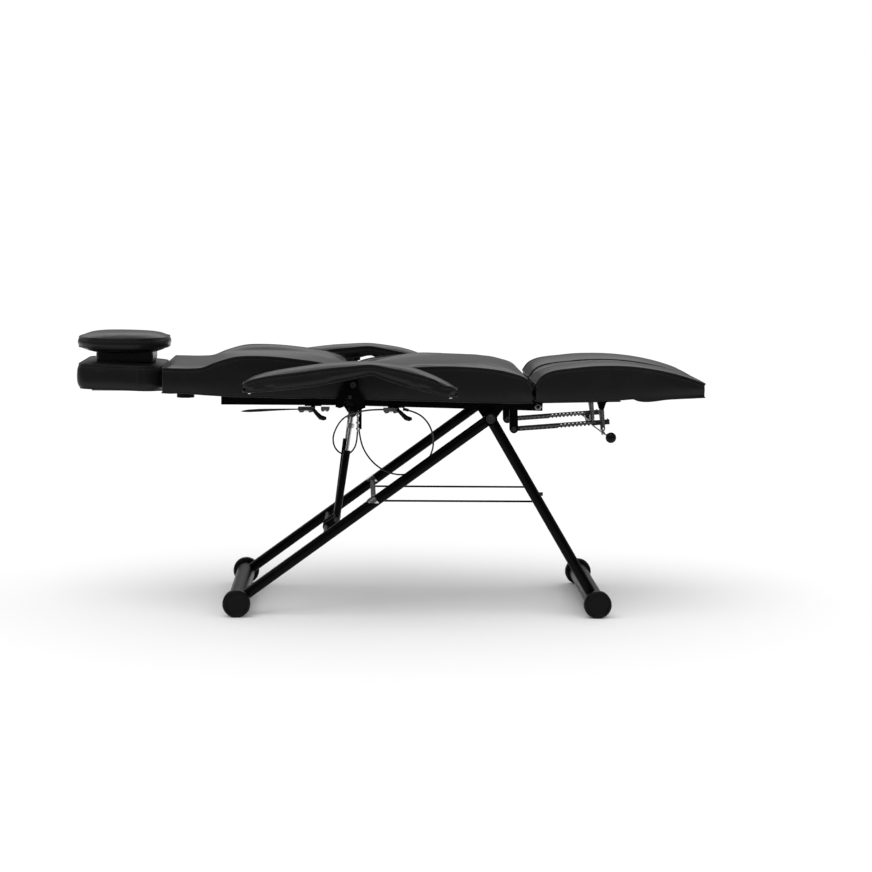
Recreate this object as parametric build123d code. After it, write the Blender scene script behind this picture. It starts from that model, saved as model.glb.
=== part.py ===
from build123d import *
from math import asin, atan2, cos, degrees, hypot, pi, radians, sin, sqrt, tan
import os

# A tattoo chair lying flat as a bed. The client's head is at -X, the feet at +X, the client's
# right side at -Y, and the floor at z = 0. An A-frame of round tubes carries a tilting seat
# frame. Backrest, headrest, armrests and two leg rests are hung on that frame.
# All sizes are in millimetres.

os.makedirs("parts", exist_ok=True)

# Fits and cuts
fit = 0.05  # a pin in its running hole, on the radius
gap = 0.3  # between pieces that only come close
overrun = 60.0  # how far a cutter reaches past what it cuts

# Pads, one after the other from head to feet
head_length = 262.0
head_gap = 4.0
back_length = 557.0
hinge_gap = 6.0
seat_length = 543.0
leg_gap = 8.0
leg_length = 510.0
total_length = head_length + head_gap + back_length + hinge_gap + seat_length + leg_gap + leg_length

head_x0 = -total_length / 2
back_x0 = head_x0 + head_length + head_gap
back_x1 = back_x0 + back_length
seat_x0 = back_x1 + hinge_gap
seat_x1 = seat_x0 + seat_length
leg_x0 = seat_x1 + leg_gap
hinge_x = back_x1 + hinge_gap / 2

# A-frame
apex_reach = 420.8  # from the back hinge to the tilt axle
apex_z = 598.6
rear_reach = 757.0  # from the tilt axle back to the rear foot bar
front_reach = 328.0
frame_y = 252.0  # centre plane of the leg tubes
leg_radius = 16.0
leg_wall = 2.0
bar_radius = 29.0
bar_wall = 3.0
base_half = 310.0
cap_radius = 41.7
cap_length = 28.0
cap_edge = 4.0
cap_ring = 2.4
plug_length = 22.0
ground_flat = 0.45
hub_radius = 20.0
hub_length = 34.0
tilt_radius = 8.0
tilt_head_radius = 14.0
tilt_head = 6.0
cross_radius = 8.0
lower_bar_reach = 611.0  # along the long tubes, down from the tilt axle
upper_bar_reach = 432.0
front_bar_radius = 12.5
front_bar_z = 336.0
stay_radius = 3.0
stay_y = 168.0
clamp_wall = 2.5
clamp_length = 26.0
stay_bolt_radius = 6.0
stay_bolt_length = 16.0

apex_x = hinge_x + apex_reach
rear_x = apex_x - rear_reach
front_x = apex_x + front_reach
foot_z = cap_radius - ground_flat

# Seat frame
rail_y = 210.0
rail_width = 24.0
rail_height = 25.0
rail_wall = 2.0
rail_rear = 19.0  # the rails start this far in front of the seat pad's rear end
rail_front = 34.0  # and run this far past its front end
seat_rail_z = 631.0  # underside at the rear end
seat_drop = 12.0  # the rails fall this much towards the feet
tilt_plate = 6.0
tilt_plate_half = 40.0
mid_tube_reach = 76.0  # from the tilt axle forward to the ratchet cross tube
leg_hinge_ahead = 19.8  # from the seat pad's front end to the leg rests' hinge
front_tube_back = 32.0  # from that hinge back to the front cross tube
leg_rod_radius = 6.0
leg_rod_head = 6.0
leg_rod_head_radius = 9.0

# Back hinge and its plates, outside the pads
hinge_z = 730.0
hinge_eye = 16.0
hinge_radius = 6.0
hinge_head_radius = 11.0
hinge_head = 3.5
back_plate_y = 286.0
back_plate = 5.0
seat_plate_y = 294.0
seat_plate = 6.0
plate_foot_radius = 12.0
outrigger_height = 20.0
plate_knee = 66.0  # height of the seat plate's knee below the hinge
knee_radius = 10.0
knee_bolt_radius = 6.0

# Backrest frame
back_rail_z = 632.0
back_rail_length = 381.0
back_rail_end = 2.0  # the rails stop this far short of the pad's hinge end
back_tube_reach = 31.0  # from the hinge back to the lower cross tube
upper_tube_inset = 13.0

# Springs
spring_y = 32.0
spring_radius = 11.0
spring_eye_half = 7.0
neck_top = 16.0  # the cylinder's full width starts this far above its eye's centre
foot_lug_reach = 38.0
lug_plate = 4.0
lug_radius = 11.0
pivot_radius = 4.0
pivot_head_radius = 8.0
pivot_head = 4.0
seat_top_reach = 412.8  # tilt axle back to the top pivot of the seat spring
seat_top_z = 590.0
back_top_z = 596.0  # top pivot of the back spring, straight under the hinge at rest
seat_cylinder_length = 217.0
back_cylinder_length = 246.0
rod_radius = 5.0
rod_inside = 100.0  # rod length inside its cylinder at rest
bore_floor = 26.0
gland = 10.0
piston_radius = 8.5
piston_length = 9.0
bush_radius = 7.0
back_eye_radius = 13.0
back_eye_half = 5.0
spring_head_radius = 10.0
collar_radius = 11.0
collar_length = 13.0
collar_drop = 46.0
back_collar_radius = 8.5  # small and close to its eye, clear of the longer cylinder and of the
back_collar_length = 8.0  # lower tube that swings past it
back_collar_drop = 28.0

# Leg rests, their catches and ratchet bars
leg_half = 137.0
leg_mid_y = 141.0
sleeve_radius = 10.0
sleeve_y0 = 8.0
leg_bar_width = 20.0
leg_bar_height = 12.0
leg_bar_length = 255.0
leg_bar_rise = 6.0
leg_bar_y_shares = (-0.21, 0.59)  # of leg_half, from the rest's middle
bar_y = 150.0
catch_reach = 200.0  # leg hinge to catch pivot
catch_drop = 7.4
catch_lug = 4.0
catch_lug_radius = 12.0
catch_ear_radius = 8.0
catch_bolt_head_radius = 6.2
catch_plate = 3.0
catch_side = 5.0  # inner face of a catch plate from the bar's middle
catch_offset = 46.0  # catch pivot to the bar's centre line
catch_width = 14.0
ratchet_height = 15.0
ratchet_width = 6.0
ratchet_pivot_drop = 75.0  # leg hinge down to the bar's pivot
ratchet_pivot_back = 66.8
ratchet_tail = 22.0  # bar length past the catch at rest
ratchet_steps = 8
notch_depth = 5.0
hole_radius = 3.2
leg_lowering = 65.0  # degrees
bracket_plate = 4.0
bracket_side = 5.0
bracket_radius = 13.0
guide_radius = 3.0
pawl_pivot_drop = 66.0  # catch pivot to pawl pivot
pawl_nose_back = 36.0
pawl_width = 5.4
pawl_radius = 7.0
pawl_swing = 12.0  # degrees
knob_radius = 16.0
knob_y = 300.0
knob_rod_radius = 4.0
knob_drop = 11.0
knob_lead = 6.0

# Pads
seat_half = 280.0
seat_thickness = 106.0
back_half = 271.0
back_thickness = 120.0
leg_thickness = 106.0
head_half = 175.0
head_thickness = 76.0
head_z = 668.0
head_bow = 65.0  # how far the headrest bulges towards the backrest
pillow_length = 278.0
pillow_half = 150.0
pillow_thickness = 53.0
pillow_z = 786.0
pedestal_length = 176.0
pedestal_half = 92.0
pad_shoulder = 10.0
pad_tuck = 6.0
pad_swell = 1.2  # a pad's top rises up to this much over its last section
bolster_width = 92.0  # of the seat and the backrest, from the side inward
leg_bolster = 70.0
arm_bolster = 46.0

# Headrest posts
post_radius = 7.0
post_y = 80.0
post_z = 666.0
post_back = 38.0  # the posts start this far in from the headrest's free end
post_in_socket = 150.0
socket_radius = 10.0
lock_x_back = 57.0  # from the backrest's head end to the lock screw
lock_radius = 27.0
lock_height = 15.0
lock_z = 640.5
lock_stem_radius = 4.0
lock_boss_radius = 8.0
lock_lobes = 8
lock_lobe_radius = 6.0

# Armrests
arm_y = 400.0
arm_half = 66.0
arm_board_half = 60.0
arm_length = 632.0
arm_ahead = 317.0  # from the back hinge to the front tip of the board
arm_rear_z = 690.0
arm_front_z = 679.0
arm_bend_z = 746.0
arm_bend_ahead = 63.0  # from the back hinge to the bend between the two arms
arm_rear_sag = 10.0
arm_front_sag = 8.0
arm_board = 9.0
arm_pad_height = 50.0
arm_pivot_x = 9.0  # in front of the back hinge
arm_pivot_drop = 29.0
arm_pivot_radius = 5.0
arm_pivot_head = 9.0
arm_plate_y = 304.0
arm_plate = 6.0
arm_eye = 14.0
arm_foot_height = 8.0
arm_foot_width = 44.0

# Release levers
lever_y = 210.0
bracket_length = 50.0
bracket_base = 3.0
bracket_tab = 3.0
bracket_half = 10.0
lever_hub_radius = 6.0
lever_pin_radius = 3.0
lever_drop = 13.0  # pivot below the rail's underside
lever_arm_radius = 3.5
seat_lever_x = 20.0
back_lever_reach = 111.0  # from the back hinge towards the head
lever_out = 62.0
lever_lead = 38.0
lever_fall = 19.0
ball_radius = 11.0
crank_radius = 5.0
crank_arm = 9.0
crank_plate = 3.0
stop_radius = 4.5
stop_length = 12.0
blade_length = 156.0
blade_height = 12.0
blade_tip = 4.0
blade_plate = 3.0
blade_gap_length = 52.0
anchor_width = 16.0
anchor_plate = 3.0
ferrule_radius = 3.6
ferrule_length = 16.0
cable_arc_share = 0.45  # of the shorter run beside a corner

# Release cables, both clipped to the seat frame at their two ends
cable_radius = 2.6
cable_a_route = (
    (-17, -210, 619), (-48, -204, 618), (-86, -184, 611), (-120, -146, 598), (-145, -102, 577),
    (-162, -58, 547), (-173, -24, 513), (-168, -4, 480), (-148, 0, 459), (-122, 0, 458),
    (-104, -1, 477), (-97, -4, 505), (-96, -4, 533),
)
cable_b_route = (
    (57, -210, 617), (86, -208, 609), (114, -202, 584), (131, -190, 550), (136, -174, 510),
    (126, -156, 470), (103, -132, 435), (69, -104, 411), (29, -75, 403), (-11, -46, 411),
    (-46, -20, 433), (-71, -3, 463), (-86, 3, 497), (-91, 4, 533),
)


# Shape helpers

def side_plane(y):
    return Plane(origin=(0, y, 0), x_dir=(1, 0, 0), z_dir=(0, -1, 0))


def slab(outline, y0, y1):
    plate = extrude(side_plane((y0 + y1) / 2) * outline, abs(y1 - y0) / 2, both=True)
    return plate


def pin(x, z, y0, y1, radius):
    return extrude(Plane(origin=(x, min(y0, y1), z), z_dir=(0, 1, 0)) * Circle(radius), abs(y1 - y0))


def rod(start, end, radius):
    axis = Vector(*end) - Vector(*start)
    return extrude(Plane(origin=start, z_dir=axis) * Circle(radius), axis.length)


def beam(start, end, width, height, wall):
    axis = Vector(*end) - Vector(*start)
    plane = Plane(origin=start, x_dir=(0, 1, 0), z_dir=axis)
    section = Rectangle(width, height) - Rectangle(width - 2 * wall, height - 2 * wall)
    return extrude(plane * section, axis.length)


def cross_tube(x, z, half, side, wall):
    plane = Plane(origin=(x, -half, z), x_dir=(1, 0, 0), z_dir=(0, 1, 0))
    return extrude(plane * (Rectangle(side, side) - Rectangle(side - 2 * wall, side - 2 * wall)), 2 * half)


def box(x0, x1, y0, y1, z0, z1):
    shape = Box(abs(x1 - x0), abs(y1 - y0), abs(z1 - z0))
    return Pos((x0 + x1) / 2, (y0 + y1) / 2, (z0 + z1) / 2) * shape


def hull(*circles):
    edges = []
    for x, z, radius in circles:
        edges += (Pos(x, z) * Circle(radius)).edges()
    return make_hull(edges)


def along(point, angle, distance, side=0.0):
    # a point that lies distance along a direction in the XZ plane, and side to its left
    x, z = point
    return (x + distance * cos(angle) - side * sin(angle), z + distance * sin(angle) + side * cos(angle))


def turned(vector, angle):
    # the vector after a turn that lowers the +X side
    x, z = vector
    return (x * cos(angle) + z * sin(angle), -x * sin(angle) + z * cos(angle))


def mirrored(shape):
    return mirror(shape, about=Plane.XZ)


def both(name, shape):
    # the right piece, at -Y, and its mirror image
    return {name + "_right": shape, name + "_left": mirrored(shape)}


def solids(*shapes):
    # separate solids that share one node
    return Compound(children=[solid for shape in shapes for solid in shape.solids()])


# A-frame

apex = (apex_x, apex_z)
long_angle = atan2(foot_z - apex_z, rear_x - apex_x)
short_angle = atan2(foot_z - apex_z, front_x - apex_x)
lower_bar = along(apex, long_angle, lower_bar_reach)
upper_bar = along(apex, long_angle, upper_bar_reach)
front_bar = along(apex, short_angle, (front_bar_z - apex_z) / sin(short_angle))
spring_foot = along(lower_bar, long_angle, -foot_lug_reach)
lug_inner = spring_eye_half + gap
lug_outer = lug_inner + lug_plate


def foot_bar(x):
    half = base_half - cap_length
    return pin(x, foot_z, -half, half, bar_radius) - pin(x, foot_z, -half, half, bar_radius - bar_wall)


def foot_caps(x):
    # a dished plastic cap with a rim, pushed into the tube end, cut flat where it stands
    inner = base_half - cap_length
    profile = Polyline(
        (0, inner - plug_length), (bar_radius - bar_wall, inner - plug_length),
        (bar_radius - bar_wall, inner), (cap_radius - cap_edge, inner), (cap_radius, inner + cap_edge),
        (cap_radius, base_half - cap_edge), (cap_radius - cap_edge, base_half),
        (cap_radius - 2 * cap_edge, base_half), (cap_radius - 2 * cap_edge - cap_ring, base_half - cap_ring),
        (0, base_half - cap_ring), (0, inner - plug_length))
    cap = revolve(make_face(profile), Axis.Y)
    cap = Pos(x, 0, foot_z) * cap
    cap = cap - box(x - cap_radius, x + cap_radius, 0, base_half + overrun, -overrun, 0)
    return solids(mirrored(cap), cap)


def leg_tube(foot_x, hub):
    start = (foot_x, -frame_y, foot_z)
    end = (apex_x, -frame_y, apex_z)
    outer = rod(start, end, leg_radius)
    bore = rod(start, end, leg_radius - leg_wall)
    foot = pin(foot_x, foot_z, -base_half, 0, bar_radius)
    y0, y1 = -frame_y - hub_length / 2, -frame_y + hub_length / 2
    tube = outer - bore - foot
    if hub:
        tube = tube + pin(apex_x, apex_z, y0, y1, hub_radius)
        return tube - pin(apex_x, apex_z, y0, y1, tilt_radius)
    long_tube = rod((rear_x, -frame_y, foot_z), end, leg_radius)
    return tube - pin(apex_x, apex_z, y0, y1, hub_radius) - long_tube


def tilt_pin():
    # shouldered axle: head inside the frame, shoulder between plate and hub, round cap outside
    hub_y = frame_y - hub_length / 2
    plate_y = rail_y + rail_width / 2
    outer = frame_y + hub_length / 2
    axle = pin(apex_x, apex_z, -outer, -plate_y + gap, tilt_radius)
    shoulder = pin(apex_x, apex_z, -hub_y, -plate_y - tilt_plate - gap, tilt_head_radius)
    head = pin(apex_x, apex_z, -plate_y + gap, -plate_y + gap + tilt_head, tilt_head_radius)
    cap = pin(apex_x, apex_z, -outer - tilt_head, -outer, tilt_head_radius)
    return axle + shoulder + head + cap


def pivot_bolt(x, z, y, half):
    shank = pin(x, z, y - half, y + half, pivot_radius)
    heads = [pin(x, z, y + side * half, y + side * (half + pivot_head), pivot_head_radius)
             for side in (-1, 1)]
    return shank + heads[0] + heads[1]


def lug_pair(outline, x, z, y, inner, thickness):
    plates = [slab(outline, y + side * inner, y + side * (inner + thickness)) for side in (-1, 1)]
    hole = pin(x, z, y - inner - thickness, y + inner + thickness, pivot_radius)
    return plates[0] + plates[1] - hole


def base():
    nodes = {"rear_foot_bar": foot_bar(rear_x), "front_foot_bar": foot_bar(front_x)}
    nodes["foot_caps"] = solids(foot_caps(rear_x), foot_caps(front_x))
    nodes |= both("long_leg", leg_tube(rear_x, True))
    nodes |= both("short_leg", leg_tube(front_x, False))

    long_tubes = [rod((rear_x, y, foot_z), (apex_x, y, apex_z), leg_radius) for y in (-frame_y, frame_y)]
    short_tubes = [rod((front_x, y, foot_z), (apex_x, y, apex_z), leg_radius) for y in (-frame_y, frame_y)]
    lower = pin(*lower_bar, -frame_y, frame_y, cross_radius) - long_tubes[0] - long_tubes[1]
    lug = hull((*lower_bar, cross_radius + lug_plate), (*spring_foot, lug_radius))
    for y in (-spring_y, spring_y):
        lower = lower + lug_pair(lug, *spring_foot, y, lug_inner, lug_plate)
    nodes["lower_crossbar"] = lower
    upper = pin(*upper_bar, -frame_y, frame_y, cross_radius) - long_tubes[0] - long_tubes[1]
    nodes["upper_crossbar"] = upper
    front = pin(*front_bar, -frame_y, frame_y, front_bar_radius) - short_tubes[0] - short_tubes[1]
    nodes["front_crossbar"] = front

    start, end = (upper_bar[0], -stay_y, front_bar_z), (front_bar[0], -stay_y, front_bar_z)
    stay = rod(start, end, stay_radius) - upper - front
    nodes["stay_rods"] = solids(stay, mirrored(stay))

    # saddle clamps hold the upper cross bar on the long tubes
    clamps = []
    low, high = (along(upper_bar, long_angle, side * clamp_length / 2) for side in (-1, 1))
    for y, tube in zip((-frame_y, frame_y), long_tubes):
        shell = rod((low[0], y, low[1]), (high[0], y, high[1]), leg_radius + clamp_wall) - tube
        middle = upper_bar[0] + cross_radius
        cut = box(rear_x, middle + overrun, y - overrun, y + overrun, upper_bar[1] - overrun, upper_bar[1])
        clamps.append((shell - cut - upper).solids().sort_by(SortBy.VOLUME)[-1])
    nodes["saddle_clamps"] = solids(*clamps)

    bolts = [tilt_pin(), mirrored(tilt_pin())]
    for y in (-spring_y, spring_y):
        bolts.append(pivot_bolt(*spring_foot, y, lug_outer))
    stay_bolt = Plane(origin=(front_bar[0], 0, front_bar_z), z_dir=(1, 0, 0))
    reach = front_bar_radius + stay_bolt_length
    bolts.append(extrude(stay_bolt * RegularPolygon(stay_bolt_radius, 6), reach) - front)
    nodes["base_fasteners"] = solids(*bolts)
    return nodes


# Seat frame

rail_x0 = seat_x0 + rail_rear
rail_x1 = seat_x1 + rail_front
rail_inner = rail_y - rail_width / 2
rail_outer = rail_y + rail_width / 2


def seat_underside(x):
    return seat_rail_z - seat_drop * (x - rail_x0) / (rail_x1 - rail_x0)


def rail_middle(x):
    return seat_underside(x) + rail_height / 2


leg_hinge = (seat_x1 + leg_hinge_ahead, rail_middle(seat_x1 + leg_hinge_ahead))
seat_top = (apex_x - seat_top_reach, seat_top_z)
back_top = (hinge_x, back_top_z)
arm_pivot = (hinge_x + arm_pivot_x, hinge_z - arm_pivot_drop)
ratchet_pivot = (leg_hinge[0] - ratchet_pivot_back, leg_hinge[1] - ratchet_pivot_drop)
top_inner = spring_eye_half + lug_plate / 2 + gap  # the heads' stub pins stop a gap short of the lugs
top_stub = top_inner - gap
plate_foot_x = rail_x0 + rail_width / 2
knee = (hinge_x - fit, hinge_z - plate_knee)


def lever_bracket(x, underside):
    # a U-shaped bracket under a rail, with a pivot hole for the lever's pin
    z = underside - lever_drop
    base_plate = box(x - bracket_length / 2, x + bracket_length / 2, -lever_y - bracket_half,
                     -lever_y + bracket_half, underside - bracket_base, underside)
    tab = hull((x, z, lever_hub_radius), (x - lever_hub_radius, underside, bracket_base / 2),
               (x + lever_hub_radius, underside, bracket_base / 2))
    for side in (-1, 1):
        y = -lever_y + side * bracket_half
        base_plate = base_plate + slab(tab, y, y - side * bracket_tab)
    above = box(x - overrun, x + overrun, -lever_y - overrun, -lever_y + overrun,
                underside, underside + overrun)
    hole = pin(x, z, -lever_y - overrun, -lever_y + overrun, lever_pin_radius + fit)
    return base_plate - above - hole


def cable_stop(underside, side, route):
    # a flange at the end of the bracket, with the barrel that holds the cable's sleeve
    start, second = Vector(*route[0]), Vector(*route[1])
    back = start - (second - start).normalized() * stop_length
    face = back.X - side * stop_radius / 2
    flange = box(face, face - side * bracket_tab, -lever_y - stop_radius, -lever_y + stop_radius,
                 back.Z - stop_radius, underside)
    barrel = rod(tuple(back), tuple(start), stop_radius)
    inner = (face, -lever_y, back.Z)
    return flange + barrel + rod(inner, tuple(back), stop_radius)


def seat_frame():
    nodes = {}
    start = (rail_x0, -rail_y, rail_middle(rail_x0))
    end = (rail_x1, -rail_y, rail_middle(rail_x1))
    rail = beam(start, end, rail_width, rail_height, rail_wall)
    tilt = hull((*apex, tilt_head_radius + tilt_plate / 2),
                (apex_x - tilt_plate_half, rail_middle(apex_x - tilt_plate_half), tilt_plate),
                (apex_x + tilt_plate_half, rail_middle(apex_x + tilt_plate_half), tilt_plate))
    rail = rail + slab(tilt, -rail_outer, -rail_outer - tilt_plate)
    rail = rail - pin(apex_x, apex_z, -rail_outer - overrun, -rail_inner, tilt_radius + fit)

    foot_z0 = seat_underside(plate_foot_x)
    outrigger = box(rail_x0, rail_x0 + rail_width, -rail_outer, -seat_plate_y,
                    foot_z0, foot_z0 + outrigger_height)
    foot = (plate_foot_x, foot_z0 + outrigger_height / 2, plate_foot_radius)
    plate = slab(hull(foot, (*knee, knee_radius)), -seat_plate_y, -seat_plate_y - seat_plate)
    plate = plate + slab(hull((*knee, knee_radius), (hinge_x, hinge_z, hinge_eye)),
                         -seat_plate_y, -seat_plate_y - seat_plate)
    plate = plate + slab(hull((*knee, knee_radius), foot, (*arm_pivot, arm_eye)),
                         -seat_plate_y, -seat_plate_y - seat_plate)
    plate = plate - pin(hinge_x, hinge_z, -seat_plate_y, -seat_plate_y - seat_plate, hinge_radius)
    plate = plate - pin(*arm_pivot, -seat_plate_y, -seat_plate_y - seat_plate, arm_pivot_radius)
    plate = plate - pin(*knee, -seat_plate_y, -seat_plate_y - seat_plate, knee_bolt_radius / 2)
    rod_hole = pin(*leg_hinge, -rail_outer, -rail_inner, leg_rod_radius)
    rail = rail + outrigger + plate - rod_hole
    nodes["seat_rail_left"] = mirrored(rail)
    under = seat_underside(seat_lever_x)
    bracket = lever_bracket(seat_lever_x, under)
    stops = cable_stop(under, -1, cable_a_route) + cable_stop(under, 1, cable_b_route)
    nodes["seat_rail_right"] = rail + bracket + stops

    # rear tube with the top lugs of the seat spring and the strip that holds the cable ends
    rear = cross_tube(plate_foot_x, rail_middle(plate_foot_x), rail_inner, rail_width, rail_wall)
    lug = hull((*seat_top, lug_radius), (plate_foot_x, rail_middle(plate_foot_x), rail_width / 2))
    hollow = pin(plate_foot_x, rail_middle(plate_foot_x), -rail_inner, rail_inner, rail_width / 2 - rail_wall)
    rear = rear + (lug_pair(lug, *seat_top, -spring_y, top_inner, lug_plate) - hollow)
    strip_x = cable_b_route[-1][0]
    strip_z = cable_a_route[-1][2]
    strip = box(strip_x - anchor_width / 2, strip_x + anchor_width / 2, -anchor_plate / 2, anchor_plate / 2,
                strip_z + ferrule_length / 4, rail_middle(plate_foot_x) - rail_width / 2)
    rear = rear + strip
    for route in (cable_a_route, cable_b_route):
        end, before = Vector(*route[-1]), Vector(*route[-2])
        ferrule_end = end + (end - before).normalized() * ferrule_length
        rear = rear + rod(tuple(end), tuple(ferrule_end), ferrule_radius)
    nodes["seat_rear_tube"] = rear

    # middle tube with the brackets of the two ratchet bars
    mid_x = apex_x + mid_tube_reach
    mid = cross_tube(mid_x, rail_middle(mid_x), rail_inner, rail_height, rail_wall)
    corner = rail_height / 2 - bracket_plate / 2
    arm = hull((*ratchet_pivot, bracket_radius), (mid_x - corner, seat_underside(mid_x), bracket_plate / 2),
               (mid_x + corner, seat_underside(mid_x), bracket_plate / 2))
    for y in (-bar_y, bar_y):
        for side in (-1, 1):
            inner = y + side * bracket_side
            plate = slab(arm, inner, inner + side * bracket_plate)
            plate = plate - pin(*ratchet_pivot, inner, inner + side * bracket_plate, pivot_radius)
            inside = cross_tube(mid_x, rail_middle(mid_x), rail_inner, rail_height - rail_wall,
                                rail_height / 4)
            mid = mid + (plate - inside)
    nodes["seat_mid_tube"] = mid
    front_x1 = leg_hinge[0] - front_tube_back
    nodes["seat_front_tube"] = cross_tube(front_x1, rail_middle(front_x1), rail_inner, rail_height, rail_wall)

    hinge_rod = pin(*leg_hinge, -rail_outer, rail_outer, leg_rod_radius)
    for side in (-1, 1):
        hinge_rod = hinge_rod + pin(*leg_hinge, side * rail_outer, side * (rail_outer + leg_rod_head),
                                    leg_rod_head_radius)
    nodes["leg_hinge_rod"] = hinge_rod
    nodes["seat_fasteners"] = seat_fasteners()
    nodes["seat_cushion"] = seat_cushion()
    return nodes


def hinge_bolt():
    # shank through both plates, head against the pad's side, spacer between the plates
    plate_end = back_plate_y + back_plate
    outer = seat_plate_y + seat_plate
    bolt = pin(hinge_x, hinge_z, -outer, -back_plate_y + gap, hinge_radius)
    inside = -back_plate_y + gap
    bolt = bolt + pin(hinge_x, hinge_z, inside, inside + hinge_head, hinge_head_radius)
    bolt = bolt + pin(hinge_x, hinge_z, -seat_plate_y, -plate_end - gap, hinge_head_radius)
    return bolt + pin(hinge_x, hinge_z, -outer, -outer - hinge_head, hinge_head_radius)


def arm_bolt():
    outer = seat_plate_y + seat_plate
    plate_end = arm_plate_y + arm_plate
    bolt = pin(*arm_pivot, -plate_end - gap, -seat_plate_y, arm_pivot_radius)
    bolt = bolt + pin(*arm_pivot, -seat_plate_y, -back_plate_y - back_plate - gap, arm_pivot_head)
    bolt = bolt + pin(*arm_pivot, -arm_plate_y + gap, -outer, arm_pivot_head)
    return bolt + pin(*arm_pivot, -plate_end - gap, -plate_end - gap - hinge_head, arm_pivot_head)


def lug_bolt_heads(x, z, y, inner, thickness):
    # the two ends of a bolt, each in its plate, with the room between them left free
    ends = []
    for side in (-1, 1):
        shank = pin(x, z, y + side * inner, y + side * (inner + thickness), pivot_radius)
        face = y + side * (inner + thickness)
        ends.append(shank + pin(x, z, face, face + side * pivot_head, pivot_head_radius))
    return ends


def seat_fasteners():
    outer = seat_plate_y + seat_plate
    knee_bolt = pin(*knee, -outer, -seat_plate_y, knee_bolt_radius / 2)
    knee_bolt = knee_bolt + pin(*knee, -outer, -outer - hinge_head, knee_bolt_radius)
    pieces = []
    for bolt in (hinge_bolt(), arm_bolt(), knee_bolt):
        pieces += [bolt, mirrored(bolt)]
    pieces += lug_bolt_heads(*seat_top, -spring_y, top_inner, lug_plate)
    for y in (-bar_y, bar_y):
        pieces += lug_bolt_heads(*ratchet_pivot, y, bracket_side, bracket_plate)
    return solids(*pieces)


# Pads: sections from the underside up, lofted along X

def pad_section(x, mid_y, half, low, edge, crest, centre, tuck, bolster):
    shoulder = pad_shoulder
    middle = (low + edge) / 2
    side_top = half - tuck / 2
    corner = half - tuck
    points = [(-corner, low), (corner, low), (side_top, edge), (half - bolster, (crest + centre) / 2)]
    outline = [
        Line(points[0], points[1]),
        ThreePointArc(points[1], (half, middle), points[2]),
        ThreePointArc(points[2], (side_top - shoulder - bolster / 4, crest), points[3]),
        ThreePointArc(points[3], (0, centre), (-points[3][0], points[3][1])),
        ThreePointArc((-points[3][0], points[3][1]), (shoulder + bolster / 4 - side_top, crest),
                      (-side_top, edge)),
        ThreePointArc((-side_top, edge), (-half, middle), points[0]),
    ]
    plane = Plane(origin=(x, mid_y, 0), x_dir=(0, 1, 0), z_dir=(1, 0, 0))
    return plane * make_face(outline)


# each row: place along the pad, underside lift, side height, crest and centre, as shares of
# the pad's length and thickness, and the drawn-in share of the half width
seat_shares = (
    (0.0, 0.12, 0.62, 0.66, 0.63, 0.050), (0.025, 0.02, 0.76, 0.82, 0.78, 0.014),
    (0.22, 0.0, 0.88, 0.94, 0.84, 0.003), (0.40, 0.0, 0.94, 0.99, 0.88, 0.0),
    (0.55, 0.0, 0.97, 1.0, 0.94, 0.0), (0.77, 0.0, 0.93, 0.99, 1.03, 0.003),
    (0.91, 0.0, 0.80, 0.875, 0.92, 0.006), (0.98, 0.03, 0.62, 0.69, 0.71, 0.018),
    (1.0, 0.12, 0.44, 0.48, 0.49, 0.050),
)
back_shares = (
    (0.0, 0.22, 0.60, 0.62, 0.60, 0.050), (0.013, 0.12, 0.70, 0.725, 0.73, 0.020),
    (0.07, 0.10, 0.72, 0.745, 0.76, 0.008), (0.205, 0.07, 0.725, 0.75, 0.76, 0.005),
    (0.285, 0.05, 0.85, 0.875, 0.775, 0.003), (0.364, 0.03, 0.965, 0.99, 0.78, 0.0),
    (0.447, 0.02, 1.0, 1.03, 0.785, 0.0), (0.578, 0.01, 0.995, 1.03, 0.79, 0.0),
    (0.738, 0.0, 0.93, 0.965, 0.785, 0.0), (0.871, 0.0, 0.845, 0.88, 0.77, 0.003),
    (0.98, 0.01, 0.74, 0.775, 0.72, 0.012), (1.0, 0.10, 0.62, 0.65, 0.61, 0.050),
)
leg_shares = (
    (0.0, 0.14, 0.474, 0.53, 0.587, 0.070), (0.014, 0.04, 0.623, 0.72, 0.80, 0.030),
    (0.10, 0.0, 0.868, 0.91, 0.955, 0.006), (0.24, 0.0, 0.946, 0.98, 0.970, 0.0),
    (0.37, 0.01, 0.989, 1.015, 0.970, 0.0), (0.52, 0.03, 0.976, 1.0, 0.955, 0.0),
    (0.66, 0.06, 0.894, 0.925, 0.900, 0.002), (0.80, 0.09, 0.751, 0.785, 0.775, 0.004),
    (0.93, 0.13, 0.553, 0.58, 0.595, 0.010), (0.988, 0.19, 0.452, 0.47, 0.485, 0.030),
    (1.0, 0.26, 0.342, 0.36, 0.37, 0.070),
)
arm_shares = (
    (0.0, -0.1, 0.24, 0.28, 0.30, 0.55), (0.02, -0.1, 0.44, 0.50, 0.54, 0.28),
    (0.08, -0.1, 0.64, 0.74, 0.80, 0.10), (0.25, -0.1, 0.74, 0.90, 0.965, 0.02),
    (0.42, -0.1, 0.70, 0.85, 0.915, 0.0), (0.52, -0.1, 0.58, 0.71, 0.77, 0.0),
    (0.598, -0.1, 0.44, 0.54, 0.60, 0.0), (0.66, -0.1, 0.58, 0.71, 0.77, 0.0),
    (0.78, -0.1, 0.72, 0.88, 0.95, 0.02), (0.90, -0.1, 0.62, 0.72, 0.78, 0.10),
    (0.97, -0.1, 0.42, 0.49, 0.53, 0.28), (1.0, -0.1, 0.23, 0.26, 0.28, 0.55),
)


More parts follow.
